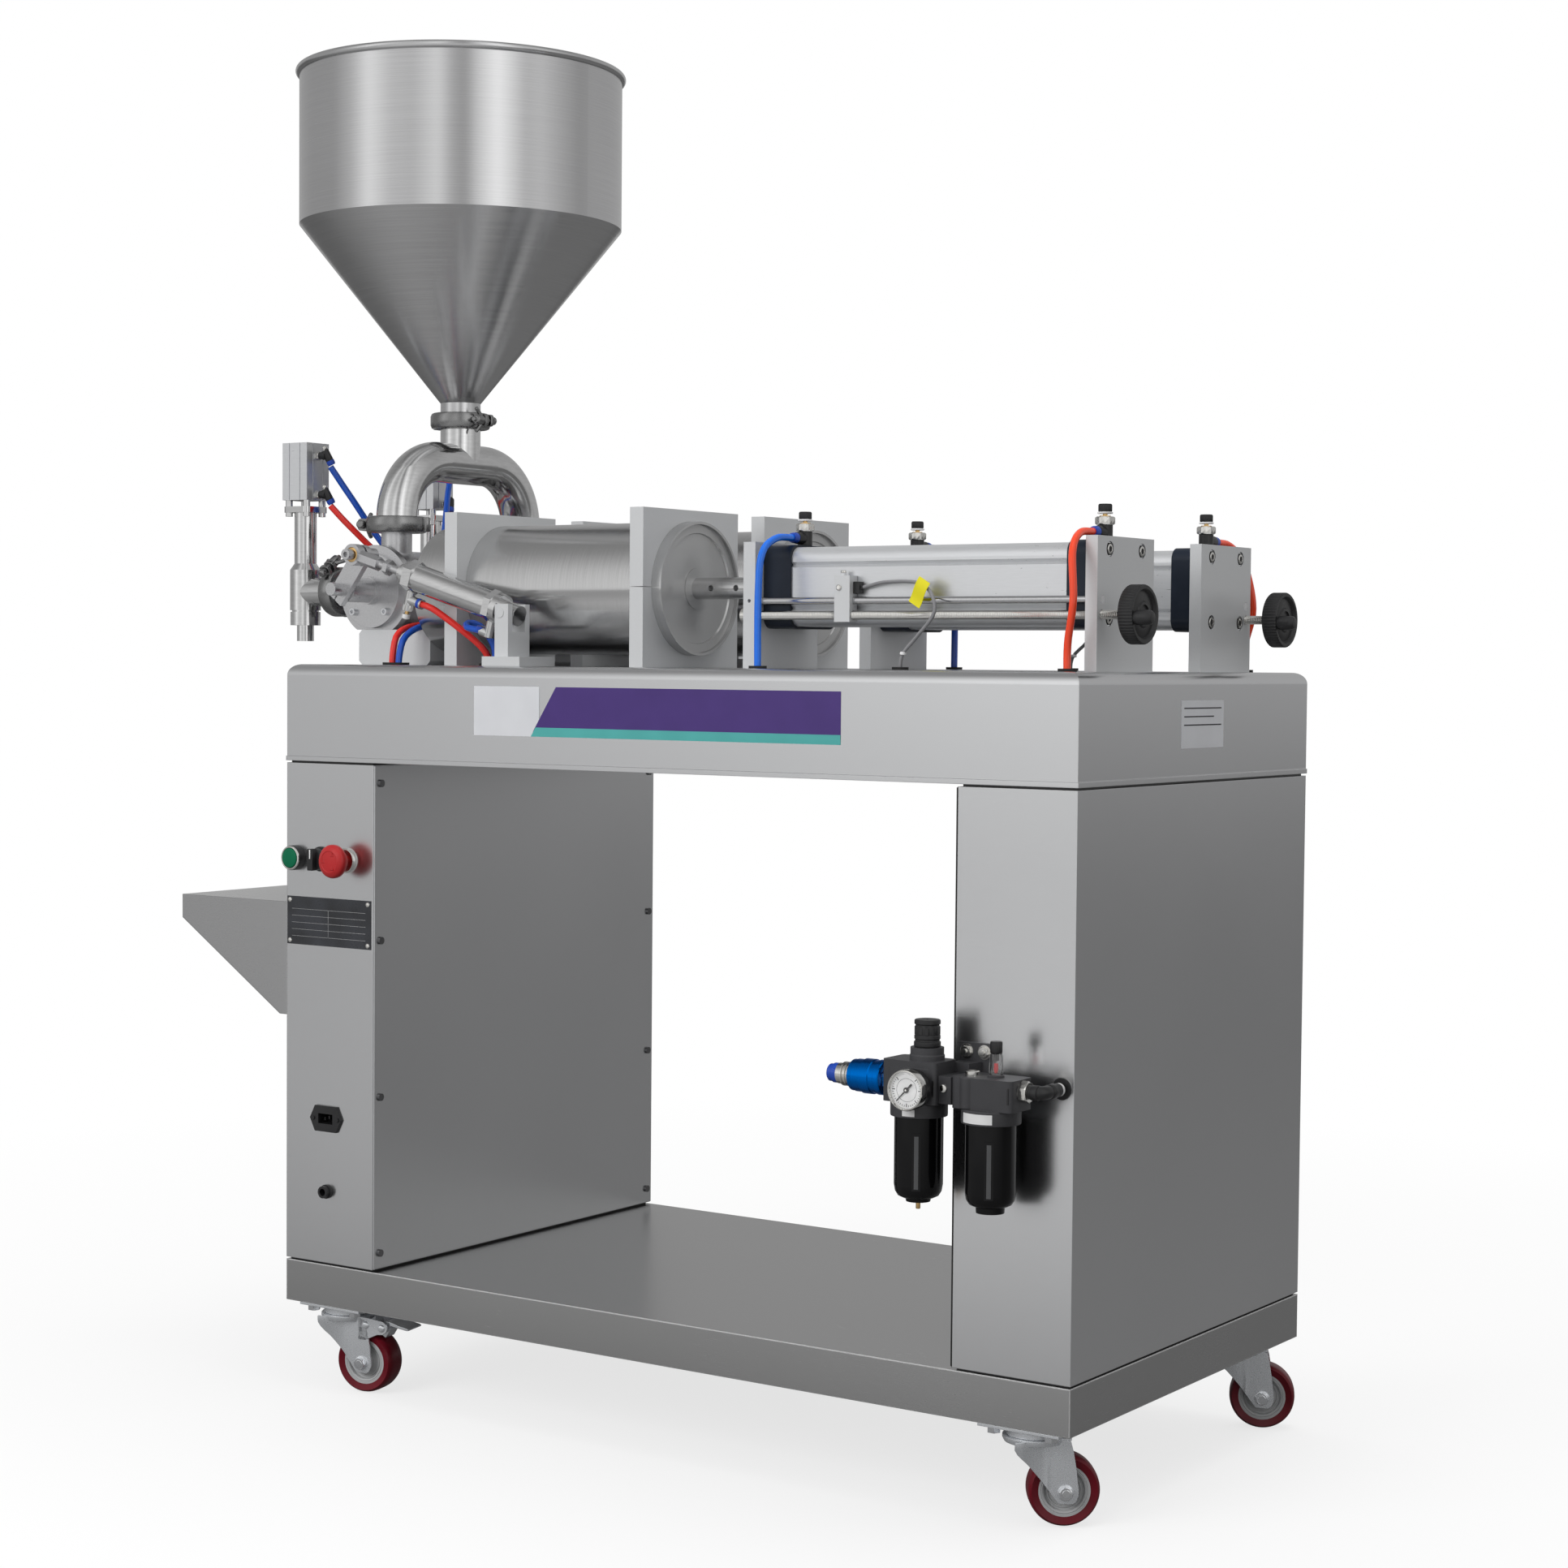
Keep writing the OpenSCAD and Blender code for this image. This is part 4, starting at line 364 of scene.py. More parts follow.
# A star stands for near and far
for mat, names in (
        (sheet_mat, "left_column right_column hood inner_covers"), (shelf_mat, "shelf"), (tray_mat, "base_tray"),
        (hopper_mat, "hopper"), (pipe_mat, "manifold nozzle_bodies valve_cylinder_*"), (cast_mat, "pipe_clamps"),
        (machined, "valve_bodies valve_arm_* valve_rod_* nozzle_stem_*"), (cyl_mat, "product_cylinders piston_*"),
        (anodised, "valve_mounts machine_plates sensor_block_*"), (profile_mat, "air_cylinder_barrels"),
        (navy_mat, "air_cylinder_caps"), (rod_mat, "guide_rods"), (screw_mat, "screws"), (rubber_and_shade_mat, "grommets"),
        (zinc_mat, "caster_plates caster_brake_fl caster_fork_fl caster_fork_fr caster_fork_rl caster_fork_rr"),
        (black_mat, "hand_wheel_* air_fittings panel_sockets selector_knob regulator_knob lubricator_knob "
                    "pressure_gauge gauge_needle"),
        (frl_mat, "frl_body"), (black_gloss, "frl_bowls"), (blue_anod, "shutoff_sleeve"), (green_mat, "start_button"),
        (red_mat, "estop_button"), (nickel, "switch_bases"), (gear_mat, "control_gear")):
    for name in names.split():
        for side in ("near", "far") if "*" in name else ("",):
            node = NODES[name.replace("*", side)]
            node.data.materials.clear()
            node.data.materials.append(mat)


# ---------------------------------------------------------------- mesh helpers, all in millimetres
def metres(q):
    return [c * 0.001 for c in q]


def polar(r, a, x=0, y=0):
    """The point at radius r and angle a in radians round x, y."""
    return x + r * math.cos(a), y + r * math.sin(a)


class Part:
    """Collects shapes with a material number each."""

    def __init__(self):
        self.v, self.f, self.m = [], [], []

    def add(self, shape, mat=0, place=None):
        verts, faces = shape
        base = len(self.v)
        for v in verts:
            v = Vector(v)
            self.v.append(place @ v if place is not None else v)
        for face in faces:
            self.f.append([base + i for i in face])
            self.m.append(mat)
        return self

    def turn(self, profile, n, mat=0, place=None):
        """Adds a solid lathed from the profile."""
        return self.add(solid(profile, n), mat, place)

    def loop(self, profile, n, mat=0, place=None):
        """Adds a lathed shape whose profile is a closed loop."""
        return self.add(ring(profile, n), mat, place)

    def make(self, name, mats, body, node=None, bevel=0.0, angle=32):
        """The object: it rides on body and stands for the CAD node, where one is named."""
        mesh = bpy.data.meshes.new(name)
        mesh.from_pydata([tuple(metres(v)) for v in self.v], [], self.f)
        for mat in mats:
            mesh.materials.append(mat)
        mesh.polygons.foreach_set("material_index", self.m)
        mesh.shade_smooth()
        mesh.set_sharp_from_angle(angle=math.radians(angle))
        ob = bpy.data.objects.new(name, mesh)
        scene.collection.objects.link(ob)
        if bevel:
            mod = ob.modifiers.new("bevel", "BEVEL")
            mod.width = bevel * 0.001
            mod.segments = 2
            mod.limit_method = "ANGLE"
            mod.angle_limit = math.radians(angle)
            mod.harden_normals = False
        if body:
            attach(ob, body)
        if node:
            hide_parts(node)
        return ob


def bands(rows, n, wrap=False):
    """Faces between rows of n points, closed round and, with wrap, from the last row to the first."""
    faces = []
    for i in range(rows if wrap else rows - 1):
        h = (i + 1) % rows
        for k in range(n):
            j = (k + 1) % n
            faces.append([i * n + k, i * n + j, h * n + j, h * n + k])
    return faces


def capped(rows, n):
    """The same with a face at each end."""
    return bands(rows, n) + [list(range(n - 1, -1, -1)), [(rows - 1) * n + k for k in range(n)]]


def lathe(profile, n=48):
    """(radius, height) points turned about Z. Points of radius 0 become poles."""
    verts, faces, rings = [], [], []
    for r, z in profile:
        if r < 1e-6:
            rings.append([len(verts)])
            verts.append((0, 0, z))
        else:
            rings.append(list(range(len(verts), len(verts) + n)))
            verts += [(*polar(r, 2 * math.pi * k / n), z) for k in range(n)]
    for a, b in zip(rings, rings[1:]):
        if len(a) == 1 and len(b) == 1:
            continue
        for k in range(n):
            j = (k + 1) % n
            if len(a) == 1:
                faces.append([a[0], b[k], b[j]][::-1])
            elif len(b) == 1:
                faces.append([a[k], a[j], b[0]])
            else:
                faces.append([a[k], a[j], b[j], b[k]])
    return verts, faces


def solid(profile, n=48):
    """A lathed shape closed at both ends on its axis."""
    return lathe([(0, profile[0][1])] + list(profile) + [(0, profile[-1][1])], n)


def ring(profile, n):
    """A lathe whose profile is a closed loop."""
    return lathe(profile + profile[:1], n)


def hexbar(a, z0, z1, turned=0.0, chamfer=0.6):
    """Hexagon with its corners taken off at both ends; a is the width across flats."""
    r = a / math.cos(math.pi / 6) / 2
    verts, n = [], 24
    for z, q in ((z0, a / 2 - 0.1), (z0, a / 2), (z0 + chamfer, r), (z1 - chamfer, r), (z1, a / 2), (z1, a / 2 - 0.1)):
        for k in range(n):
            t = turned + 2 * math.pi * k / n
            u = (t - turned) % (math.pi / 3) - math.pi / 6
            verts.append((*polar(min(q, a / 2 / math.cos(u)), t), z))
    return verts, capped(6, n)


def prism(points, z0, z1):
    n = len(points)
    verts = [(x, y, z0) for x, y in points] + [(x, y, z1) for x, y in points]
    faces = [list(range(n - 1, -1, -1)), list(range(n, 2 * n))]
    return verts, faces + bands(2, n)


def block(x0, x1, y0, y1, z0, z1):
    return prism([(x0, y0), (x1, y0), (x1, y1), (x0, y1)], z0, z1)


def round_rect(w, h, r):
    """Outline of a rectangle about the origin with corners of radius r."""
    pts, steps = [], 6
    for cx, cy, a0 in ((w / 2 - r, h / 2 - r, 0), (r - w / 2, h / 2 - r, 90), (r - w / 2, r - h / 2, 180),
                       (w / 2 - r, r - h / 2, 270)):
        for k in range(steps + 1):
            pts.append(polar(r, math.radians(a0 + 90 * k / steps), cx, cy))
    return pts


def tube(points, d, n=12):
    """A round tube swept along points."""
    pts = [Vector(q) for q in points]
    verts, side = [], Vector((0.3, 0.2, 0.9))
    for i, q in enumerate(pts):
        t = (pts[min(i + 1, len(pts) - 1)] - pts[max(i - 1, 0)]).normalized()
        side = (side - t * side.dot(t)).normalized()
        other = t.cross(side)
        for k in range(n):
            a = 2 * math.pi * k / n
            verts.append(q + (side * math.cos(a) + other * math.sin(a)) * (d / 2))
    return verts, capped(len(pts), n)


def remap(shape, place, turn_over=True):
    """The shape with each point put through place, and its faces turned over where that mirrors it."""
    verts, faces = shape
    return [place(v) for v in verts], [q[::-1] for q in faces] if turn_over else faces


def mirrored(shape):
    """The same on the other side of the machine's middle."""
    return remap(shape, lambda v: (v[0], -v[1], v[2]))


def shift(x, y=0, z=0):
    return Matrix.Translation((x, y, z))


def spin(degrees, axis="Z"):
    return Matrix.Rotation(math.radians(degrees), 4, axis)


def toward(origin, axis, across=None):
    """Places a shape made along Z so that it runs along axis from origin."""
    z = Vector(axis).normalized()
    x = Vector(across) if across is not None else (Vector((0, 0, 1)) if abs(z.z) < 0.9 else Vector((1, 0, 0)))
    x = (x - z * x.dot(z)).normalized()
    y = z.cross(x)
    return Matrix.Translation(Vector(origin)) @ Matrix((x, y, z)).transposed().to_4x4()


def smooth_path(points, step=6.0):
    """Catmull-Rom points through the route, about step millimetres apart."""
    p = [Vector(q) for q in points]
    p = [p[0] * 2 - p[1]] + p + [p[-1] * 2 - p[-2]]
    out = []
    for a, b, c, d in zip(p, p[1:], p[2:], p[3:]):
        k = max(2, int((c - b).length / step))
        for j in range(k):
            t = j / k
            out.append(0.5 * (2 * b + (c - a) * t + (2 * a - 5 * b + 4 * c - d) * t ** 2
                              + (3 * b - a - 3 * c + d) * t ** 3))
    return out + [p[-2]]


def blend(ob, bodies, start, end, k):
    """Bakes a flexible piece's placement into its mesh and turns start and end into metres; k is -1 on the far side.
    """
    start, end = (tuple(metres((q[0], k * q[1], q[2]))) for q in (start, end))
    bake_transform(ob)
    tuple(start)
    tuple(end)


X_AXIS, Y_AXIS, Z_AXIS, FRONT = (1, 0, 0), (0, 1, 0), (0, 0, 1), (0, -1, 0)
LINE_Y, AXIS_Z, DECK = -120, 968, 877
SIDES = (("near", 1), ("far", -1))


# ---------------------------------------------------------------- hoses and leads
HOSE_D, LEAD_D = 8, 4
HOSE_END = DECK - 12
PORT_Z = AXIS_Z + 46.5 + 8.5
front_hose = [(106, -146.5, PORT_Z), (106, -178, 1021), (105, -203, 1004), (105, -210, 960), (105, -210, HOSE_END)]
rear_hose = [(484.5, -146.5, PORT_Z), (486, -178, 1020), (492, -204, 1000), (499, -214, 950), (491, -210, 905),
             (491, -210, HOSE_END)]
lift_low = [(-620, -115, 1077), (-602, -100, 1052), (-570, -66, 1008), (-515, -60, 974), (-456, -52, 940),
            (-430, -78, 927), (-426, -160, 926), (-428, -200, 916), (-429, -210, 890), (-429, -210, HOSE_END)]
lift_high = [(-620, -115, 1126), (-606, -92, 1088), (-576, -56, 1022), (-520, -44, 978), (-448, -38, 938),
             (-418, -72, 927), (-415, -160, 926), (-418, -199, 912), (-419, -210, 886), (-419, -210, HOSE_END)]
# The valve cylinder's rear pin, the direction along the cylinder and the one square to it, downwards
PIN = Vector((-229.5, -230.5, 938.5))
TILT = math.radians(16.206)
ALONG = Vector((math.cos(TILT), 0, -math.sin(TILT)))
BELOW = Vector((-math.sin(TILT), 0, -math.cos(TILT)))
red_valve = [PIN - ALONG * 131.7 + BELOW * 28, PIN - ALONG * 116 + BELOW * 28, (-322, -219, 924), (-300, -200, 900),
             (-295, -190, DECK + 6), (-295, -190, HOSE_END)]
blue_valve = [PIN - ALONG * 37.3 + BELOW * 32, (-298, -227, 922), (-304, -218, 927), (-297, -205, 924),
              (-287, -193, 903), (-285, -190, DECK + 6), (-285, -190, HOSE_END)]
lead = [(213.3, -168.6, 966), (250, -172, 972), (300, -181, 968), (318, -188, 940), (298, -192, 912),
        (279, -190, 892), (277, -190, HOSE_END)]
# A start and an end for each run that joins a moving body
red_bend = ((-295, -195, 885), (-350, -225, 945))
blue_bend = ((-287, -195, 890), (-280, -226, 930))
lead_bend = ((280, -190, 895), (225, -170, 966))


def hose_mat(name, base):
    return plastic(name, base, 0.22, grain=200, depth=0.05, coat=0.3, vary=0.06)


light_blue = hose_mat("hose_light_blue", (0.0, 0.16, 0.80))
dark_blue = hose_mat("hose_dark_blue", (0.0, 0.05, 0.38))
royal_blue = hose_mat("hose_royal_blue", (0.0, 0.08, 0.52))
orange_red = hose_mat("hose_orange_red", (0.95, 0.06, 0.01))
signal_red = hose_mat("hose_red", (0.82, 0.02, 0.012))
lead_mat = plastic("lead_grey", (0.24, 0.24, 0.25), 0.45, grain=300)

for side, k in SIDES:
    cylinder = ("valve_cylinder_" + side, "valve_hoses")
    for name, route, mat, (body, node), bend in (
            ("hose_front_", front_hose, light_blue if k > 0 else dark_blue, (None, "air_hoses"), None),
            ("hose_rear_", rear_hose, orange_red, (None, "air_hoses"), None),
            ("hose_lift_low_", lift_low, signal_red, (None, "air_hoses"), None),
            ("hose_lift_high_", lift_high, royal_blue, (None, "air_hoses"), None),
            ("hose_valve_red_", red_valve, signal_red, cylinder, red_bend),
            ("hose_valve_blue_", blue_valve, royal_blue, cylinder, blue_bend),
            ("lead_", lead, lead_mat, ("sensor_block_" + side, "sensor_leads"), lead_bend)):
        thick, stiffness, n = (LEAD_D, "medium", 12) if route is lead else (HOSE_D, "stiff", 16)
        pts = [Vector((q.x, k * q.y, q.z)) for q in smooth_path(route)]
        ob = Part().add(tube(pts, thick, n)).make(name + side, [mat], None if bend else "cabinet", angle=60)
        if bend:
            blend(ob, ("cabinet", body), *bend, k)
        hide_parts(node)
        metres(pts[0])
        [metres(q) for q in pts]


# ---------------------------------------------------------------- casters
def sheet_between(outline, offset, thick):
    """A pressed sheet over x, from its lower to its upper edge; offset(x, z) pushes it sideways."""
    nx, nz = 26, 7
    verts, faces = [], []
    xs = np.linspace(outline[0][0], outline[-1][0], nx)
    lo, hi = (np.interp(xs, [o[0] for o in outline], [o[i] for o in outline]) for i in (1, 2))
    for layer in (0, 1):
        for i in range(nx):
            for k in range(nz):
                z = lo[i] + (hi[i] - lo[i]) * k / (nz - 1)
                verts.append((xs[i], offset(xs[i], z) + layer * thick, z))
    a = nx * nz
    for i in range(nx - 1):
        for k in range(nz - 1):
            q = [i * nz + k, (i + 1) * nz + k, (i + 1) * nz + k + 1, i * nz + k + 1]
            faces += [q, [a + c for c in q[::-1]]]
    for i in range(nx - 1):
        for k in (0, nz - 1):
            q = [i * nz + k, (i + 1) * nz + k, a + (i + 1) * nz + k, a + i * nz + k]
            faces.append(q[::-1] if k == 0 else q)
    for k in range(nz - 1):
        for i in (0, nx - 1):
            q = [i * nz + k, i * nz + k + 1, a + i * nz + k + 1, a + i * nz + k]
            faces.append(q if i == 0 else q[::-1])
    return verts, faces


# Where each caster stands and how far its fork is turned
CASTERS = {"fl": (-470, -240, 11), "fr": (480, -240, 37), "rl": (-470, 240, 18), "rr": (480, 240, 25)}
# The axle's trail and height, and the legs' distance from the middle
TRAIL, WHEEL_Z, LEG = 30, 37.5, 18.5


def flare(x, z):
    """The leg leans out towards the round seat ahead of its crease."""
    t = min(1, max(0, (10 - x) / 26))
    rise = min(1, max(0, (z - 38) / 50))
    return LEG + 11.5 * t * rise + 1.2 * math.exp(-((x - 11) / 1.8) ** 2)


leg_edges = [(-24, 84, 92), (-22, 80, 92), (-10, 68, 93), (5, 50, 93), (18, 32.5, 93), (20, 29.6, 93), (23, 26, 93),
             (36, 25.5, 90), (39, 26, 75), (42.6, 29.5, 52), (43.5, 34, 40)]
leg = sheet_between(leg_edges, flare, 2.5)
tread = [(26.6, -13.4), (31, -14.6), (34.2, -15.6), (36.2, -13.6), (37.2, -10), (37.5, -5)]
half_hub = [(5.6, 16.6), (10.6, 16.6), (11, 16), (11, 9.6), (13.2, 8.8), (16.6, 8.8), (17, 9.8), (18.4, 9.8),
            (18.8, 8.8), (20.4, 9.2), (21.4, 12.6), (23.4, 13.6), (24, 13), (24.6, 13.6), (27, 13.6)]
axle_cover = [(9.4, 15.9), (9.4, 16.9), (8.6, 17.4), (5.6, 17.4), (5.2, 17.2)]
seat = [(5.2, 89.4), (12, 89.4), (27, 88.6), (29.5, 86.6), (31.2, 87), (33, 90.5), (33, 93.2), (32.2, 94), (8, 94),
        (5.2, 94)]
bridge = [(2, -20.4), (35.5, -20.4), (36.4, -17), (36.4, 17), (35.5, 20.4), (2, 20.4)]
brake_arm = [(26, 93), (26, 66), (36, 66), (52, 73.5), (60, 74.2), (64.5, 77.5), (66, 82), (64.5, 86.5), (60, 89.8),
             (48, 91.5), (36, 93)]
for tag, (cx, cy, turned) in CASTERS.items():
    stand = shift(cx, cy) @ spin(turned)
    hub = stand @ toward((TRAIL, 0, WHEEL_Z), Y_AXIS)
    axle = stand @ toward((TRAIL, 0, WHEEL_Z), FRONT)
    wheel = Part()
    wheel.add(lathe(tread + [(r, -h) for r, h in tread[::-1]] + tread[:1], 72), 0, hub)
    wheel.add(lathe([(r, -h) for r, h in half_hub] + half_hub[::-1], 72), 1, hub)
    for place in (axle, hub):
        wheel.turn(axle_cover, 32, 2, place)
    wheel.make("wheel_" + tag, [tyre_mat, hub_mat, zinc_mat], "wheel_" + tag, "caster_wheel_" + tag)

    fork = Part()
    fork.add(lathe(seat + seat[:1], 64), 0, stand)
    fork.turn([(28.6, 93.9), (28.6, 94.25)], 48, 1, stand)
    fork.add(mirrored(leg), 0, stand).add(leg, 0, stand)
    fork.add(prism(bridge, 91, 93.6), 0, stand)
    fork.turn([(3.45, -28), (3.95, -27.5), (3.95, 20.5), (3.45, 21)], 32, 0, axle)
    fork.turn([(8.2, 21), (8.2, 22.2), (7.6, 22.4)], 32, 0, axle)
    fork.add(hexbar(13, 22.2, 26.6, 0.3, 1.0), 2, axle)
    fork.turn([(4.4, 26.6), (4.2, 27)], 24, 2, axle)
    fork.add(hexbar(13, -27.4, -21, 0.9, 1.0), 2, axle)
    if tag == "fl":
        for sgn in (-1, 1):
            plate = prism(brake_arm, 0, 2.5)
            fork.add(remap(plate, lambda v: (v[0], -sgn * (LEG + v[2]), v[1]), sgn < 0), 0, stand)
            for x, z in ((36, 84), (58, 82)):
                fork.turn([(4.6, 0), (4.6, 0.9), (3.6, 2.0), (2, 2.45)], 32, 0,
                          stand @ toward((x, sgn * 21, z), (0, sgn, 0)))
    fork.make("fork_" + tag, [zinc_mat, rubber_and_shade_mat, bolt_mat], "fork_" + tag, "caster_fork_" + tag, bevel=0.35,
              angle=38)

stand = shift(*CASTERS["fl"][:2]) @ spin(CASTERS["fl"][2])
lever = Part()
pedal = [polar(6, a, 58, 82) for a in np.linspace(math.radians(250), math.radians(100), 8)]
pedal += [(62, 89.5), (68, 89), (80, 85.4), (90, 83.6), (92, 82.6), (92, 80.8), (89, 80.6), (79, 82.2), (68, 84.4),
          (63, 82), (60, 76.6)]
lever.add(remap(prism(pedal, -15.3, 15.3), lambda v: (v[0], v[2], v[1])), 0, stand)
for y in (-8, 0, 8):
    lever.add(tube([(66, y, 88.2), (74, y, 86.2), (84, y, 83.9)], 2.2, 8), 0, stand)
# The shoe faces the wheel on the line from the axle to the pedal's pin
rise = math.degrees(math.atan2(82 - WHEEL_Z, 58 - TRAIL))
lever.add(prism([(-10, -7), (10, -7), (10, 7), (-10, 7)], 40.5, 54.5), 0,
          stand @ shift(TRAIL, 0, WHEEL_Z) @ spin(-rise, "Y") @ spin(90, "Y") @ spin(90))
lever.make("brake_lever", [zinc_mat], "brake_fl", "caster_brake_fl", bevel=0.8, angle=38)

# ---------------------------------------------------------------- hand wheels and threaded rods
THREAD_Y, THREAD_Z, HAND_X = -172, 936, 542.5


def thread(d, z0, z1, pitch):
    """A rod with its thread as one continuous groove."""
    n, deep = 20, 0.75
    steps = int((z1 - z0) / pitch * 8)
    verts = []
    for i in range(steps + 1):
        z = z0 + (z1 - z0) * i / steps
        for k in range(n):
            q = d / 2 - deep * abs(((z / pitch - k / n) % 1.0) * 2 - 1)
            verts.append((*polar(q, 2 * math.pi * k / n), z))
    return verts, capped(steps + 1, n)


def knurled(profile, ridges, deep, n_per=4):
    """A lathed rim whose outer points dip between ridges; profile rows are (radius, height, ridged)."""
    n = ridges * n_per
    verts = []
    for r, z, ridged in profile:
        for k in range(n):
            q = r - (deep if ridged and k % n_per in (2, 3) else 0)
            verts.append((*polar(q, 2 * math.pi * k / n), z))
    return verts, bands(len(profile), n, wrap=True)


for side, k in SIDES:
    wheel = Part()
    axis_at = toward((0, k * THREAD_Y, THREAD_Z), X_AXIS)
    at_wheel = toward((HAND_X, k * THREAD_Y, THREAD_Z), X_AXIS)
    wheel.add(thread(10, 64, 551, 1.5), 1, axis_at)
    wheel.turn([(6.6, 57.8), (8, 58.8), (8, 64.6), (6.6, 65.6)], 32, 1, axis_at)
    rim = [(25, 1.6, 0), (29.6, 0.6, 0), (30.75, 1.8, 1), (30.75, 15.8, 1), (29.6, 17.2, 0), (26.4, 17.2, 0),
           (25, 15.6, 0), (22.6, 11, 0), (21, 4, 0)]
    wheel.add(knurled(rim, 56, 0.9), 0, at_wheel)
    wheel.turn([(9.4, -2.8), (10.6, -1.6), (11, 3.2), (24.6, 7), (24.6, 13.6), (22.8, 14.6), (14, 14.9),
                (12.6, 16.4), (10, 16.6), (9.6, 14.8)], 48, 0, at_wheel)
    grip = toward((HAND_X, k * THREAD_Y - 22, THREAD_Z - 3.5), X_AXIS)
    wheel.turn([(5, 2), (5, 15), (6.4, 16.4), (7.6, 19), (7.8, 22), (7.8, 32), (7.2, 35), (5.6, 37), (3, 37.4)],
               32, 0, grip)
    wheel.make("hand_wheel_piece_" + side, [black_mat, nickel], "hand_wheel_" + side, "hand_wheel_" + side, angle=34)

# ---------------------------------------------------------------- flow valves and elbows
fittings = Part()
for x in (106, 484.5):
    for k in (1, -1):
        at = toward((x, k * LINE_Y, 1014.5), Z_AXIS)
        out = toward((x, k * LINE_Y, PORT_Z), (0, -k, 0))
        fittings.turn([(7.6, 0), (8.2, 0.6), (8.2, 15.9), (7.6, 16.5)], 40, 0, at)
        fittings.add(hexbar(18.4, 16.5, 25, 0.4, 1.2), 1, at)
        fittings.turn([(6, 25), (6, 26), (2.5, 26.2), (2.5, 28)], 24, 2, at)
        fittings.turn([(7.8, 28), (8.15, 28.4), (8.15, 29.6), (7.6, 30)], 32, 3, at)
        fittings.add(knurled([(0.1, 30, 0), (6.6, 30, 0), (7.3, 30.8, 1), (7.3, 37.2, 1), (6.4, 38.4, 0),
                              (0.1, 38.5, 0)], 24, 0.4), 0, at)
        fittings.turn([(6.6, 5), (6.6, 17), (6.2, 18.4)], 32, 0, out)
        fittings.turn([(5.9, 18.4), (5.9, 23.8), (5.2, 26.8), (4.15, 26.8)], 32, 4, out)
for z in (1140, 1091):
    for k in (1, -1):
        port = toward((-637, k * LINE_Y, z), X_AXIS)
        out = toward((-624, k * LINE_Y, z + 4), Vector((4, k * 5, -12)).normalized())
        fittings.add(hexbar(9.6, 0, 4, 0.2, 0.5), 1, port)
        fittings.turn([(4.6, 3), (4.6, 9), (5.4, 9.5), (5.4, 15)], 24, 0, port)
        fittings.turn([(4.4, -3), (5.0, -1.5), (5.0, 10), (4.6, 11.5)], 28, 0, out)
        fittings.turn([(5.2, 11.5), (5.2, 15), (4.6, 17.5), (4.1, 17.8)], 28, 4, out)
        fittings.turn([(1.6, 3.8), (1.6, 11), (3.4, 11), (3.4, 13), (2.6, 14)], 20, 1,
                      toward((-628, k * LINE_Y, z - 2), (0.25, 0, 1)))
fittings.make("fittings", [black_mat, nickel, brass, white_mat, blue_ring], "cabinet", "air_fittings", angle=34)

# ---------------------------------------------------------------- panel
SWITCH_X, SWITCH_Z, PANEL_Y = (-525, -484, -443), 644, -275
on_start, on_selector, on_stop = (toward((x, PANEL_Y, SWITCH_Z), FRONT) for x in SWITCH_X)
bases = Part()
bases.loop([(12.4, 0), (15, 0), (15, 9), (14.4, 9.6), (12.4, 9.6)], 56, 1, on_start)
bases.loop([(12.1, 9.6), (14.6, 9.6), (14.4, 10.8), (13.4, 11.8), (12.5, 11.8), (12.1, 11.2)], 56, 0, on_start)
for place, h, mat in ((on_selector, 3.9, 1), (on_stop, 4.9, 0)):
    bases.loop([(6.8, 0), (15, 0), (15, 2.4), (14, h), (6.8, h)], 56, mat, place)
for x, place in zip(SWITCH_X, (on_start, on_selector, on_stop)):
    bases.add(block(x - 13, x + 13, -268, -230, SWITCH_Z - 15, SWITCH_Z + 15), 1)
    bases.turn([(11.2, -16), (11.2, -0.5)], 32, 1, place)
bases.make("switch_rings", [nickel, black_mat], "cabinet", "switch_bases", bevel=0.3)
button = [(6, -10), (6, 6), (11.8, 6), (11.8, 11.6), (11, 12.4), (8, 12.9), (3, 13)]
Part().turn(button, 56, 0, on_start).make("start_cap", [green_mat], "start_button", "start_button")
knob = Part()
at = toward((SWITCH_X[1], PANEL_Y, SWITCH_Z), FRONT, Z_AXIS)
knob.turn([(6, -14), (6, 4.3), (13, 4.3), (13, 8), (12.4, 11.4), (11.4, 12)], 56, 0, at)
knob.add(prism([(-13, -3.4), (-12, -4.2), (10, -4.6), (13, -3), (13, 3), (10, 4.6), (-12, 4.2), (-13, 3.4)], 11.8, 20),
         0, at)
knob.add(block(1, 12, -0.9, 0.9, 19.9, 20.15), 1, at)
knob.make("selector_cap", [black_mat, white_mat], "selector_knob", "selector_knob", bevel=0.7)
estop = Part()
estop.turn([(6, -12), (6, 11), (12.4, 11), (13.4, 17), (18.6, 19.4), (19.8, 20.8), (20, 22.6), (20, 25),
            (19.2, 27.4), (17, 29.6), (12.8, 31), (12.2, 30.6), (6, 31.3), (2, 31.4)], 64, 0, on_stop)
for a in (90, 210, 330):
    arrow = [polar(3.2, math.radians(a + b), *polar(9.4, math.radians(a))) for b in (-90, 30, 150)]
    estop.add(prism(arrow, 30.9, 31.35), 0, on_stop)
estop.make("stop_cap", [red_mat], "estop_button", "estop_button", angle=40)

plate_mat = plastic("nameplate", (0.018, 0.020, 0.026), 0.3, grain=500, coat=0.4, vary=0.5)
sign_mat = plastic("sign_white", (0.72, 0.73, 0.76), 0.4, coat=0.2, vary=0.03)
sign_violet = plastic("sign_violet", (0.045, 0.012, 0.17), 0.35, coat=0.3, vary=0.05)
sign_teal = plastic("sign_teal", (0.07, 0.42, 0.40), 0.35, coat=0.3, vary=0.05)

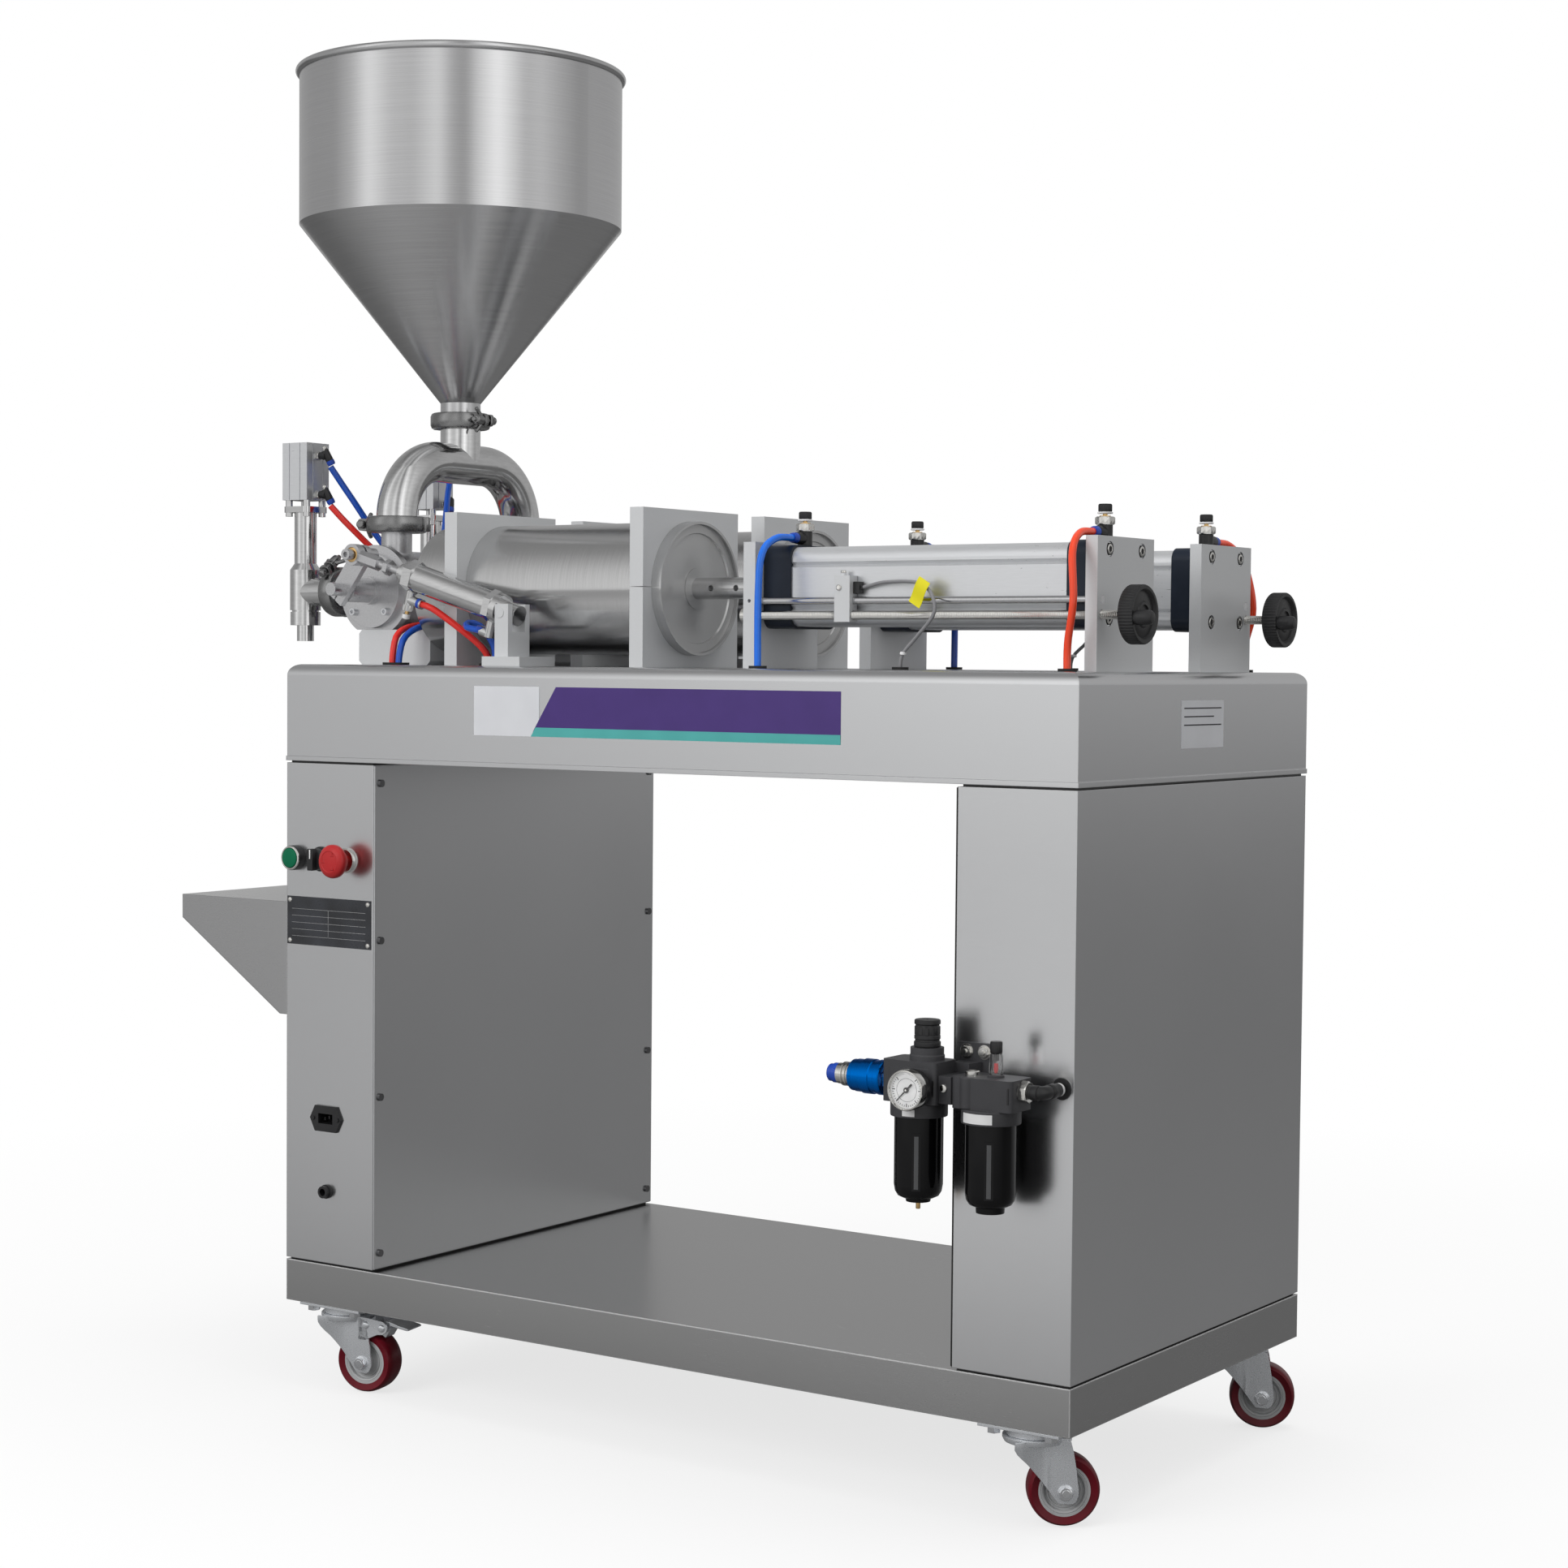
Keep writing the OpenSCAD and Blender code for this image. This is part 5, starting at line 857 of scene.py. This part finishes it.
sign = Part()
sign.add(block(-538.5, -404, PANEL_Y - 0.9, PANEL_Y, 539.5, 597.5))
for x0, x1, z0, high in [(-531, -412, 549.5 + 8.2 * i, 0.4) for i in range(5)] + [(-472, -471.6, 549.5, 33.2)]:
    sign.add(block(x0, x1, PANEL_Y - 1.02, PANEL_Y - 0.9, z0, z0 + high), 2)
for x in (-534, -408.5):
    for z in (544, 593):
        sign.turn([(3, 0.9), (2.9, 1.6), (1.8, 2.4), (0.6, 2.6)], 24, 1, toward((x, PANEL_Y, z), FRONT))
sign.make("nameplate", [plate_mat, nickel, machined], "cabinet", bevel=0.2)
band = Part()
band.add(block(-246, -150, PANEL_Y - 0.35, PANEL_Y, 797.6, 854))
for mat, thick, outline in ((1, 0.36, [(-159, 803), (257, 803), (257, 854), (-126, 854)]),
                            (2, 0.42, [(-162, 797.6), (257, 797.6), (257, 808), (-155, 808)])):
    band.add(remap(prism(outline, 0, thick), lambda v: (v[0], PANEL_Y - v[2], v[1]), False), mat)
band.make("front_sign", [sign_mat, sign_violet, sign_teal], "cabinet")
side_sign = Part()
side_sign.add(block(540, 540.3, -47, 55, 796, 847))
for i in range(3):
    side_sign.add(block(540.3, 540.36, -41, 49 - 18 * (i % 2), 838 - 9 * i, 839.4 - 9 * i), 1)
side_sign.make("side_sign", [sign_mat, black_mat], "cabinet")

# ---------------------------------------------------------------- air treatment unit
# The unit's axis, and the middles of its filter, its regulator's spring and its lubricator's dome
UNIT_Y, UNIT_Z = -315, 458
FILTER_X, OILER_X = 383, 468
through, over_knob, over_dome = toward((0, UNIT_Y, UNIT_Z), X_AXIS), shift(392, UNIT_Y), shift(473, UNIT_Y)
beside_dome = shift(448, UNIT_Y - 4)
unit = Part()
for x0, x1, y0, y1, z0, z1, r in ((351, 415, UNIT_Y - 21.5, UNIT_Y + 21.5, 438, 481, 5),
                                  (356, 410, UNIT_Y - 23, UNIT_Y + 20, 443, 474, 8),
                                  (415, 431, UNIT_Y - 17, UNIT_Y + 17, 440, 468, 2),
                                  (433, 503, UNIT_Y - 21.5, UNIT_Y + 21.5, 438, 470, 5),
                                  (407, 448, -278, PANEL_Y, 446, 497, 1)):
    unit.add(prism([(x + (x0 + x1) / 2, y + (y0 + y1) / 2) for x, y in round_rect(x1 - x0, y1 - y0, r)], z0, z1))
for x, r, lip in ((FILTER_X, 26, 29.3), (OILER_X, 27, 30.2)):
    unit.turn([(r, 423), (lip, 423.6), (r + 3.5, 425), (r + 3.5, 437), (r + 2.6, 438.2)], 56, 0,
              shift(x, UNIT_Y))
for r in (4.4, 2.2):
    unit.add(lathe([(r, 474.6), (r + 0.5, 475.1), (r + 1, 474.6)], 32), 2, beside_dome)
unit.add(prism([(413, -297), (431, -297), (436, -278), (408, -278)], 448, 478))
for x in (417, 438):
    head = toward((x, -278, 488), FRONT)
    unit.turn([(7.6, 0), (7.6, 1.1)], 32, 2, head)
    unit.add(hexbar(10.5, 1.1, 4.6, 0.2, 0.8), 2, head)
    unit.turn([(2.7, 4.6), (2.7, 6.6)], 20, 2, head)
for x in (412, 499):
    unit.add(block(x - 0.8, x + 0.8, UNIT_Y - 21.9, UNIT_Y - 21.2, 447, 463), 3)
unit.add(hexbar(22, 344, 351, 0.1, 1), 2, through)
for i in range(3):
    x = 292 + 4.4 * i
    unit.add(lathe([(10.8, x), (12.6, x + 0.8), (12.6, x + 2.6), (10.8, x + 3.4)], 40), 2, through)
unit.loop([(5.1, 276), (8.4, 274.6), (9.2, 275.4), (9.2, 280), (10.4, 280.6), (10.4, 286.6), (5.1, 286.6)], 40,
          4, through)
unit.add(hexbar(20, 503, 512, 0.1, 1), 2, through)
elbow = [(512, UNIT_Y, UNIT_Z), (517, UNIT_Y, UNIT_Z)]
elbow += [(517 + 9 * math.sin(a), UNIT_Y + 9 - 9 * math.cos(a), UNIT_Z) for a in np.linspace(0, math.pi / 2, 9)]
unit.add(tube(elbow + [(526, -284, UNIT_Z)], 14, 24), 3)
for n, mat, place, profile in (
        (40, 0, shift(450, UNIT_Y - 15), [(8.4, 438.4), (9, 439), (9, 469), (8.2, 469.8)]),
        (48, 0, over_knob, [(18, 480), (18, 486), (17.2, 487), (17.2, 494)]),
        (32, 2, beside_dome, [(7.5, 469), (7.5, 474.5), (6.2, 474.9)]),
        (32, 0, over_dome, [(8.6, 469.5), (8.6, 472), (7.3, 472.4)]),
        (24, 2, toward((422, UNIT_Y - 17, 456), FRONT), [(4, 0), (4, 1.6), (3, 2.2)]),
        (40, 2, through, [(10.9, 286.6), (10.9, 344)]),
        (32, 3, shift(514.5) @ through, [(7.4, 0), (7.7, 0.6), (7.7, 7.4), (7.4, 8)]),
        (32, 3, toward((526, -302, UNIT_Z), Y_AXIS), [(7.4, 0), (7.8, 0.6), (7.8, 9.4), (7.4, 10)]),
        (32, 5, toward((526, -287, UNIT_Z), Y_AXIS), [(6.8, 0), (6.8, 7)]),
        (32, 3, toward((526, PANEL_Y, UNIT_Z), FRONT), [(7, -14), (7, -1), (11, -0.4), (11, 0.6)])):
    unit.turn(profile, n, mat, place)
# Bare labels wrapped round the rims of the bowls
for x, r, a0, wide in ((OILER_X, 30.75, 92, 36), (FILTER_X + 2, 29.7, 96, 26)):
    bow = [-math.radians(a0) + (i - 6) / 12 * wide / r for i in range(13)]
    verts = [(*polar(r, a, x, UNIT_Y), 430.6 + h) for h in (-5, 5) for a in bow]
    unit.add((verts, [[i, i + 1, 14 + i, 13 + i] for i in range(12)]), 5)
unit.make("air_unit", [frl_mat, black_gloss, nickel, black_mat, blue_ring, white_mat], "cabinet", "frl_body",
          bevel=0.7, angle=36)

bowls = Part()
for x, r, nut in ((FILTER_X, 25.2, [(8, 334.6), (12.5, 335), (13.4, 339)]),
                  (OILER_X, 26, [(11, 332), (14.5, 332.6), (15, 339)])):
    at = shift(x, UNIT_Y)
    bowls.turn([(12, 339), (r - 9, 339), (r - 4, 341.4), (r - 1.2, 346), (r, 353), (r, 422.6)], 72, 0, at)
    bowls.turn(nut, 48, 0, at)
    if x == FILTER_X:
        bowls.turn([(2, 327), (2.4, 327.6), (2.4, 335)], 24, 2, at)
    # A raised strip with a narrower sight strip on it
    for mat, wide, out, ends in ((0, 0.36, 0.5, (349, 408)), (1, 0.17, 0.75, (351, 405))):
        n = 9
        turns = [math.radians(-64) + (q / (n - 1) - 0.5) * wide for q in range(n)]
        verts = [(*polar(r + d, a), z) for d in (-0.5, out) for z in ends for a in turns]
        faces = [[2 * n + q, 2 * n + q + 1, 3 * n + q + 1, 3 * n + q] for q in range(n - 1)]
        faces.append(list(range(3 * n, 4 * n)) + list(range(2 * n - 1, n - 1, -1)))
        faces.append(list(range(0, n)) + list(range(3 * n - 1, 2 * n - 1, -1)))
        faces += [[0, 2 * n, 3 * n, n], [n - 1, 2 * n - 1, 4 * n - 1, 3 * n - 1]]
        bowls.add((verts, faces), mat, at)
sight_mat = plastic("sight_strip", (0.05, 0.052, 0.055), 0.15, coat=0.5, grain=120, depth=0.5)
bowls.make("bowls", [black_gloss, sight_mat, brass], "cabinet", "frl_bowls", angle=36)

GAUGE = (395, -344.8, 455)
FULL, TICKS, STEP = 225, 31, 9
at, facing = toward(GAUGE, FRONT), toward(GAUGE, FRONT, (-1, 0, 0))
gauge = Part()
gauge.turn([(6, -8), (6, 0), (19.6, 0), (20.2, 1), (20.2, 9)], 64, 0, at)
gauge.add(lathe([(20.2, 8), (21, 9), (21, 17), (20.4, 18.6), (19.3, 19), (18.9, 18), (18.9, 13.6)], 72), 1, at)
gauge.turn([(19, 13.4), (19, 14)], 64, 2, at)
gauge.turn([(1, 14), (1, 16.4)], 20, 1, at)
gauge.loop([(11.6, 14), (11.9, 14), (11.9, 14.1), (11.6, 14.1)], 48, 0, at)
for i in range(TICKS):
    r, w = (13.6, 0.45) if i % 5 == 0 else (15.2, 0.22)
    a = math.radians(FULL - STEP * i)
    c, s = math.cos(a), math.sin(a)
    tick = [(q * c - v * s, q * s + v * c) for q, v in ((r, w), (r, -w), (17.2, -w), (17.2, w))]
    gauge.add(prism([(-u, v) for u, v in tick][::-1], 14, 14.12), 0, facing)
gauge.make("gauge", [black_mat, nickel, white_mat], "cabinet", "pressure_gauge")
needle = Part()
at = toward(GAUGE, FRONT, X_AXIS)
needle.loop([(1.05, 14.8), (3, 14.8), (2.9, 15.6), (1.05, 15.6)], 32, 0, at)
c, s = math.cos(math.radians(FULL)), math.sin(math.radians(FULL))
outline = ((-9, -1.0), (0, -0.8), (16, -0.35), (16, 0.35), (0, 0.8), (-9, 1.0))
hand = [(c * u - s * v, s * u + c * v) for u, v in outline]
needle.add(prism(hand, 14.85, 15.5), 0, at)
needle.make("needle", [black_mat], "gauge_needle", "gauge_needle")
clear = glass("lens")
Part().turn([(18.8, 17.2), (18.8, 17.8)], 64, 0, toward(GAUGE, FRONT)).make("gauge_lens", [clear], "cabinet")
top_knob = Part()
top_knob.turn([(5, 486.4), (5, 494.4), (13.4, 494.4), (13.75, 495.4), (13.75, 499.6), (12.6, 500.4), (12.6, 502),
               (13.4, 502.6), (13.4, 506), (12.6, 506.6)], 48, 0, over_knob)
rim = [(1, 506.2, 0), (12.4, 506.2, 0), (13.2, 507, 1), (13.2, 515, 1), (12.2, 515.8, 0), (12.2, 517, 0),
       (13.4, 517.8, 0), (13.4, 521.4, 0), (12.6, 522.2, 0), (1, 522.2, 0)]
top_knob.add(knurled(rim, 12, 0.7, 6), 0, over_knob)
top_knob.make("regulator_cap", [black_mat], "regulator_knob", "regulator_knob", bevel=0.25)
drip = Part()
drip.turn([(3, 486.4), (3, 494.3), (6.1, 494.3)], 24, 0, over_dome)
drip.add(knurled([(0.5, 494.4, 0), (5.8, 494.4, 0), (6.25, 495, 1), (6.25, 505, 1), (5.6, 506.1, 0), (0.5, 506.3, 0)],
                 20, 0.3), 0, over_dome)
drip.make("drip_knob", [black_mat], "lubricator_knob", "lubricator_knob")
dome = ring([(4.6, 472.4), (6.9, 472.4), (7, 480), (6.6, 490), (6, 493.8), (4.6, 493.8)], 40)
Part().add(dome, 0, over_dome).make("sight_dome", [clear], "cabinet")
Part().turn([(1.4, 474), (2.4, 478), (2, 484)], 20, 0, over_dome).make("drip_tip", [red_mat], "cabinet")
sleeve = ring([(13, 303.8), (15.4, 303.8), (16.4, 304.8), (16.4, 309), (17, 309.6), (17, 318.6), (18.2, 319.2),
               (18.2, 330), (17.2, 331), (17.2, 336.4), (18.2, 337.2), (18.2, 342.6), (17.4, 343.6), (11.2, 343.6),
               (11.2, 314), (13, 313)], 64)
Part().add(sleeve, 0, through).make("shutoff_piece", [blue_anod], "shutoff_sleeve", "shutoff_sleeve")


# ---------------------------------------------------------------- pipe clamps
def clamp_shapes(d):
    """Ring, ears, hinge and wing nut of one clamp, about Z, with the bolt towards +X."""
    r = d / 2
    ear = round_rect(14, 15, 4)
    shapes = [ring([(r - 4.6, 3.1), (r + 0.4, 3.1), (r + 0.4, -3.1), (r - 4.6, -3.1), (r - 5, -8), (r + 2, -10),
                    (r + 4.4, -9), (r + 6, -5.4), (r + 6, 5.4), (r + 4.4, 9), (r + 2, 10), (r - 5, 8)], 56)]
    for shape, out in ((prism(ear, -8, -2.4), 10), (prism(ear, 2.4, 7.4), 10),
                       (solid([(2.7, -26), (3, -25), (3, 10), (5.2, 10.4), (5.2, 14), (3.6, 15.6)], 20), 11),
                       (solid([(4.2, -22), (6.2, -20), (6.4, -10), (5.6, -8.2)], 24), 11)):
        shapes.append(remap(shape, lambda v: (r + out + v[0], v[2], v[1])))
    for k in (1, -1):
        shapes.append(tube([(r + 11, -10.5, k * 4), (r + 10.6, -13, k * 8), (r + 10, -16.5, k * 12.4),
                            (r + 9.6, -19, k * 14.6)], 5.2, 10))
    hinge = solid([(4.4, -9), (5, -8), (5, 8), (4.4, 9)], 24)
    return shapes + [remap(hinge, lambda v: (v[0] - r - 7, v[1], v[2]), False)]


clamps = Part()
for d, place in ((64, shift(-504, 0, 1186.5)), (64, shift(-504, LINE_Y, 1050.5) @ spin(200)),
                 (50.5, shift(-431, LINE_Y, AXIS_Z) @ spin(90, "Y") @ spin(180)),
                 (50.5, shift(-600, LINE_Y, AXIS_Z) @ spin(90, "Y") @ spin(-145))):
    for shape in clamp_shapes(d):
        moved = remap(shape, lambda v: place @ Vector(v), False)
        clamps.add(moved)
        if place.translation.y:
            clamps.add(mirrored(moved))
clamps.make("clamps", [cast_mat], "cabinet", "pipe_clamps", bevel=0.5, angle=40)

# ---------------------------------------------------------------- sockets of the rear plates' screws
sockets, r = Part(), 5.5
for k in (1, -1):
    for y, z in ((-36, -36), (-36, 36), (36, -36), (36, 36)):
        at = toward((510, k * LINE_Y + y, AXIS_Z + z), X_AXIS)
        # The black ring round each head and the black hex at each socket's bottom are painted shade in the gap and the
        # hole.
        sockets.loop([(r + 0.2, -0.6), (r + 0.9, -0.6), (r + 0.9, 0.06), (r + 0.2, 0.06)], 32, 1, at)
        sockets.loop([(r * 0.58, 0), (r * 0.58, 0.5), (r * 0.88, 0.5), (r, 0.1), (r, -0.5)], 32, 0, at)
        sockets.add(hexbar(r * 1.12, -0.4, 0.12, 0.3, 0.05), 1, at)
sockets.make("screw_sockets", [nickel, rubber_and_shade_mat], "cabinet")

# ---------------------------------------------------------------- sensors, tags and small trim
yellow = plastic("yellow_tag", (0.80, 0.72, 0.01), 0.45, vary=0.04)
collar = [(6.2, 0), (6.2, 3.6), (5.4, 6), (4.2, 6.4)]


def tag(side, k, share, wide, high):
    """A bent label hanging on the lead at share of its length, made for the near side."""
    pts = smooth_path(lead)
    i = int(share * (len(pts) - 1))
    c, t = pts[i], (pts[i + 1] - pts[i - 1]).normalized()
    normal = Vector(FRONT)
    across = t.cross(normal).normalized()
    verts, faces, n = [], [], 9
    for y in (-0.25, 0.25):
        for u in (-wide / 2, wide / 2):
            for j in range(n):
                s = -high * 0.2 + high * j / (n - 1)
                verts.append(tuple(c + t * u + across * s + normal * (2.6 + 1.4 * math.sin(j * 0.7) + y)))
    for j in range(n - 1):
        faces.append([j, j + 1, n + j + 1, n + j])
        faces.append([2 * n + j, 3 * n + j, 3 * n + j + 1, 2 * n + j + 1])
    # Its start and end for blend run across its thin side, with the lead's own share at its middle
    start, end = (Vector(q) for q in lead_bend)
    line = end - start
    bent = min(1, max(0, (c - start).dot(line) / line.length_squared))
    shape = (verts, faces)
    ob = Part().add(shape if k > 0 else mirrored(shape)).make("tag_" + side, [yellow], None)
    reach = Vector((0, 200, 0))
    blend(ob, ("cabinet", "sensor_block_" + side), c - reach * bent, c + reach * (1 - bent), k)


for side, k in SIDES:
    tag(side, k, 0.44 if k > 0 else 0.36, 18, 30)
    tie = solid([(2.6, 0), (3.4, 0.6), (3.4, 2.6), (2.6, 3.2)], 20)
    Part().add(tie, 0, toward((280.5, k * -190.6, 893), (0.1, 0, 1))).make("tie_" + side, [white_mat], "cabinet")
    sensor = Part()
    for shape in (block(205.05, 213.2, -173.2, -164.6, 959.5, 972.5), block(206, 216, -171.2, -166.6, 964, 968.6)):
        sensor.add(shape if k > 0 else mirrored(shape))
    sensor.turn([(3.4, 0), (3.4, 1), (2.4, 1.9)], 24, 1, toward((191, k * -180, 966), (0, -k, 0)))
    sensor.turn([(1.6, 0), (1.6, 3), (3.2, 3.2), (3.2, 5.4), (2.4, 6)], 20, 1,
                toward((192, k * -172.3, 979), Z_AXIS))
    sensor.make("sensor_" + side, [black_mat, nickel], "sensor_block_" + side, bevel=0.4)
    small = Part()
    pin = Vector((PIN.x, k * PIN.y, PIN.z))
    head = pin - ALONG * 153
    small.turn([(2.6, 0), (2.6, 5)], 20, 0, toward(head + BELOW * 41, BELOW))
    small.turn([(4.5, 4.6), (4.7, 5.4), (4.7, 9.4), (4, 10.2)], 24, 1, toward(head + BELOW * 41, BELOW))
    small.add(hexbar(11, 34.2, 41, 0.2, 0.6), 2, toward(head, BELOW))
    small.turn(collar, 28, 3, toward(head + BELOW * 28 + ALONG * 14.5, ALONG))
    small.turn(collar, 28, 3, toward(pin - ALONG * 36.3 + BELOW * 27, BELOW))
    small.make("cylinder_trim_" + side, [brass, white_mat, nickel, blue_ring], "valve_cylinder_" + side)
    eye = lathe([(4.2, 5.05), (9, 5.05), (9, 5.5), (7.6, 6.2), (4.2, 6.2)], 36)
    liner = Part().add(eye, 0, toward(pin - ALONG * 252.5, (0, -k, 0)))
    liner.make("eye_liner_" + side, [brass], "valve_rod_" + side)
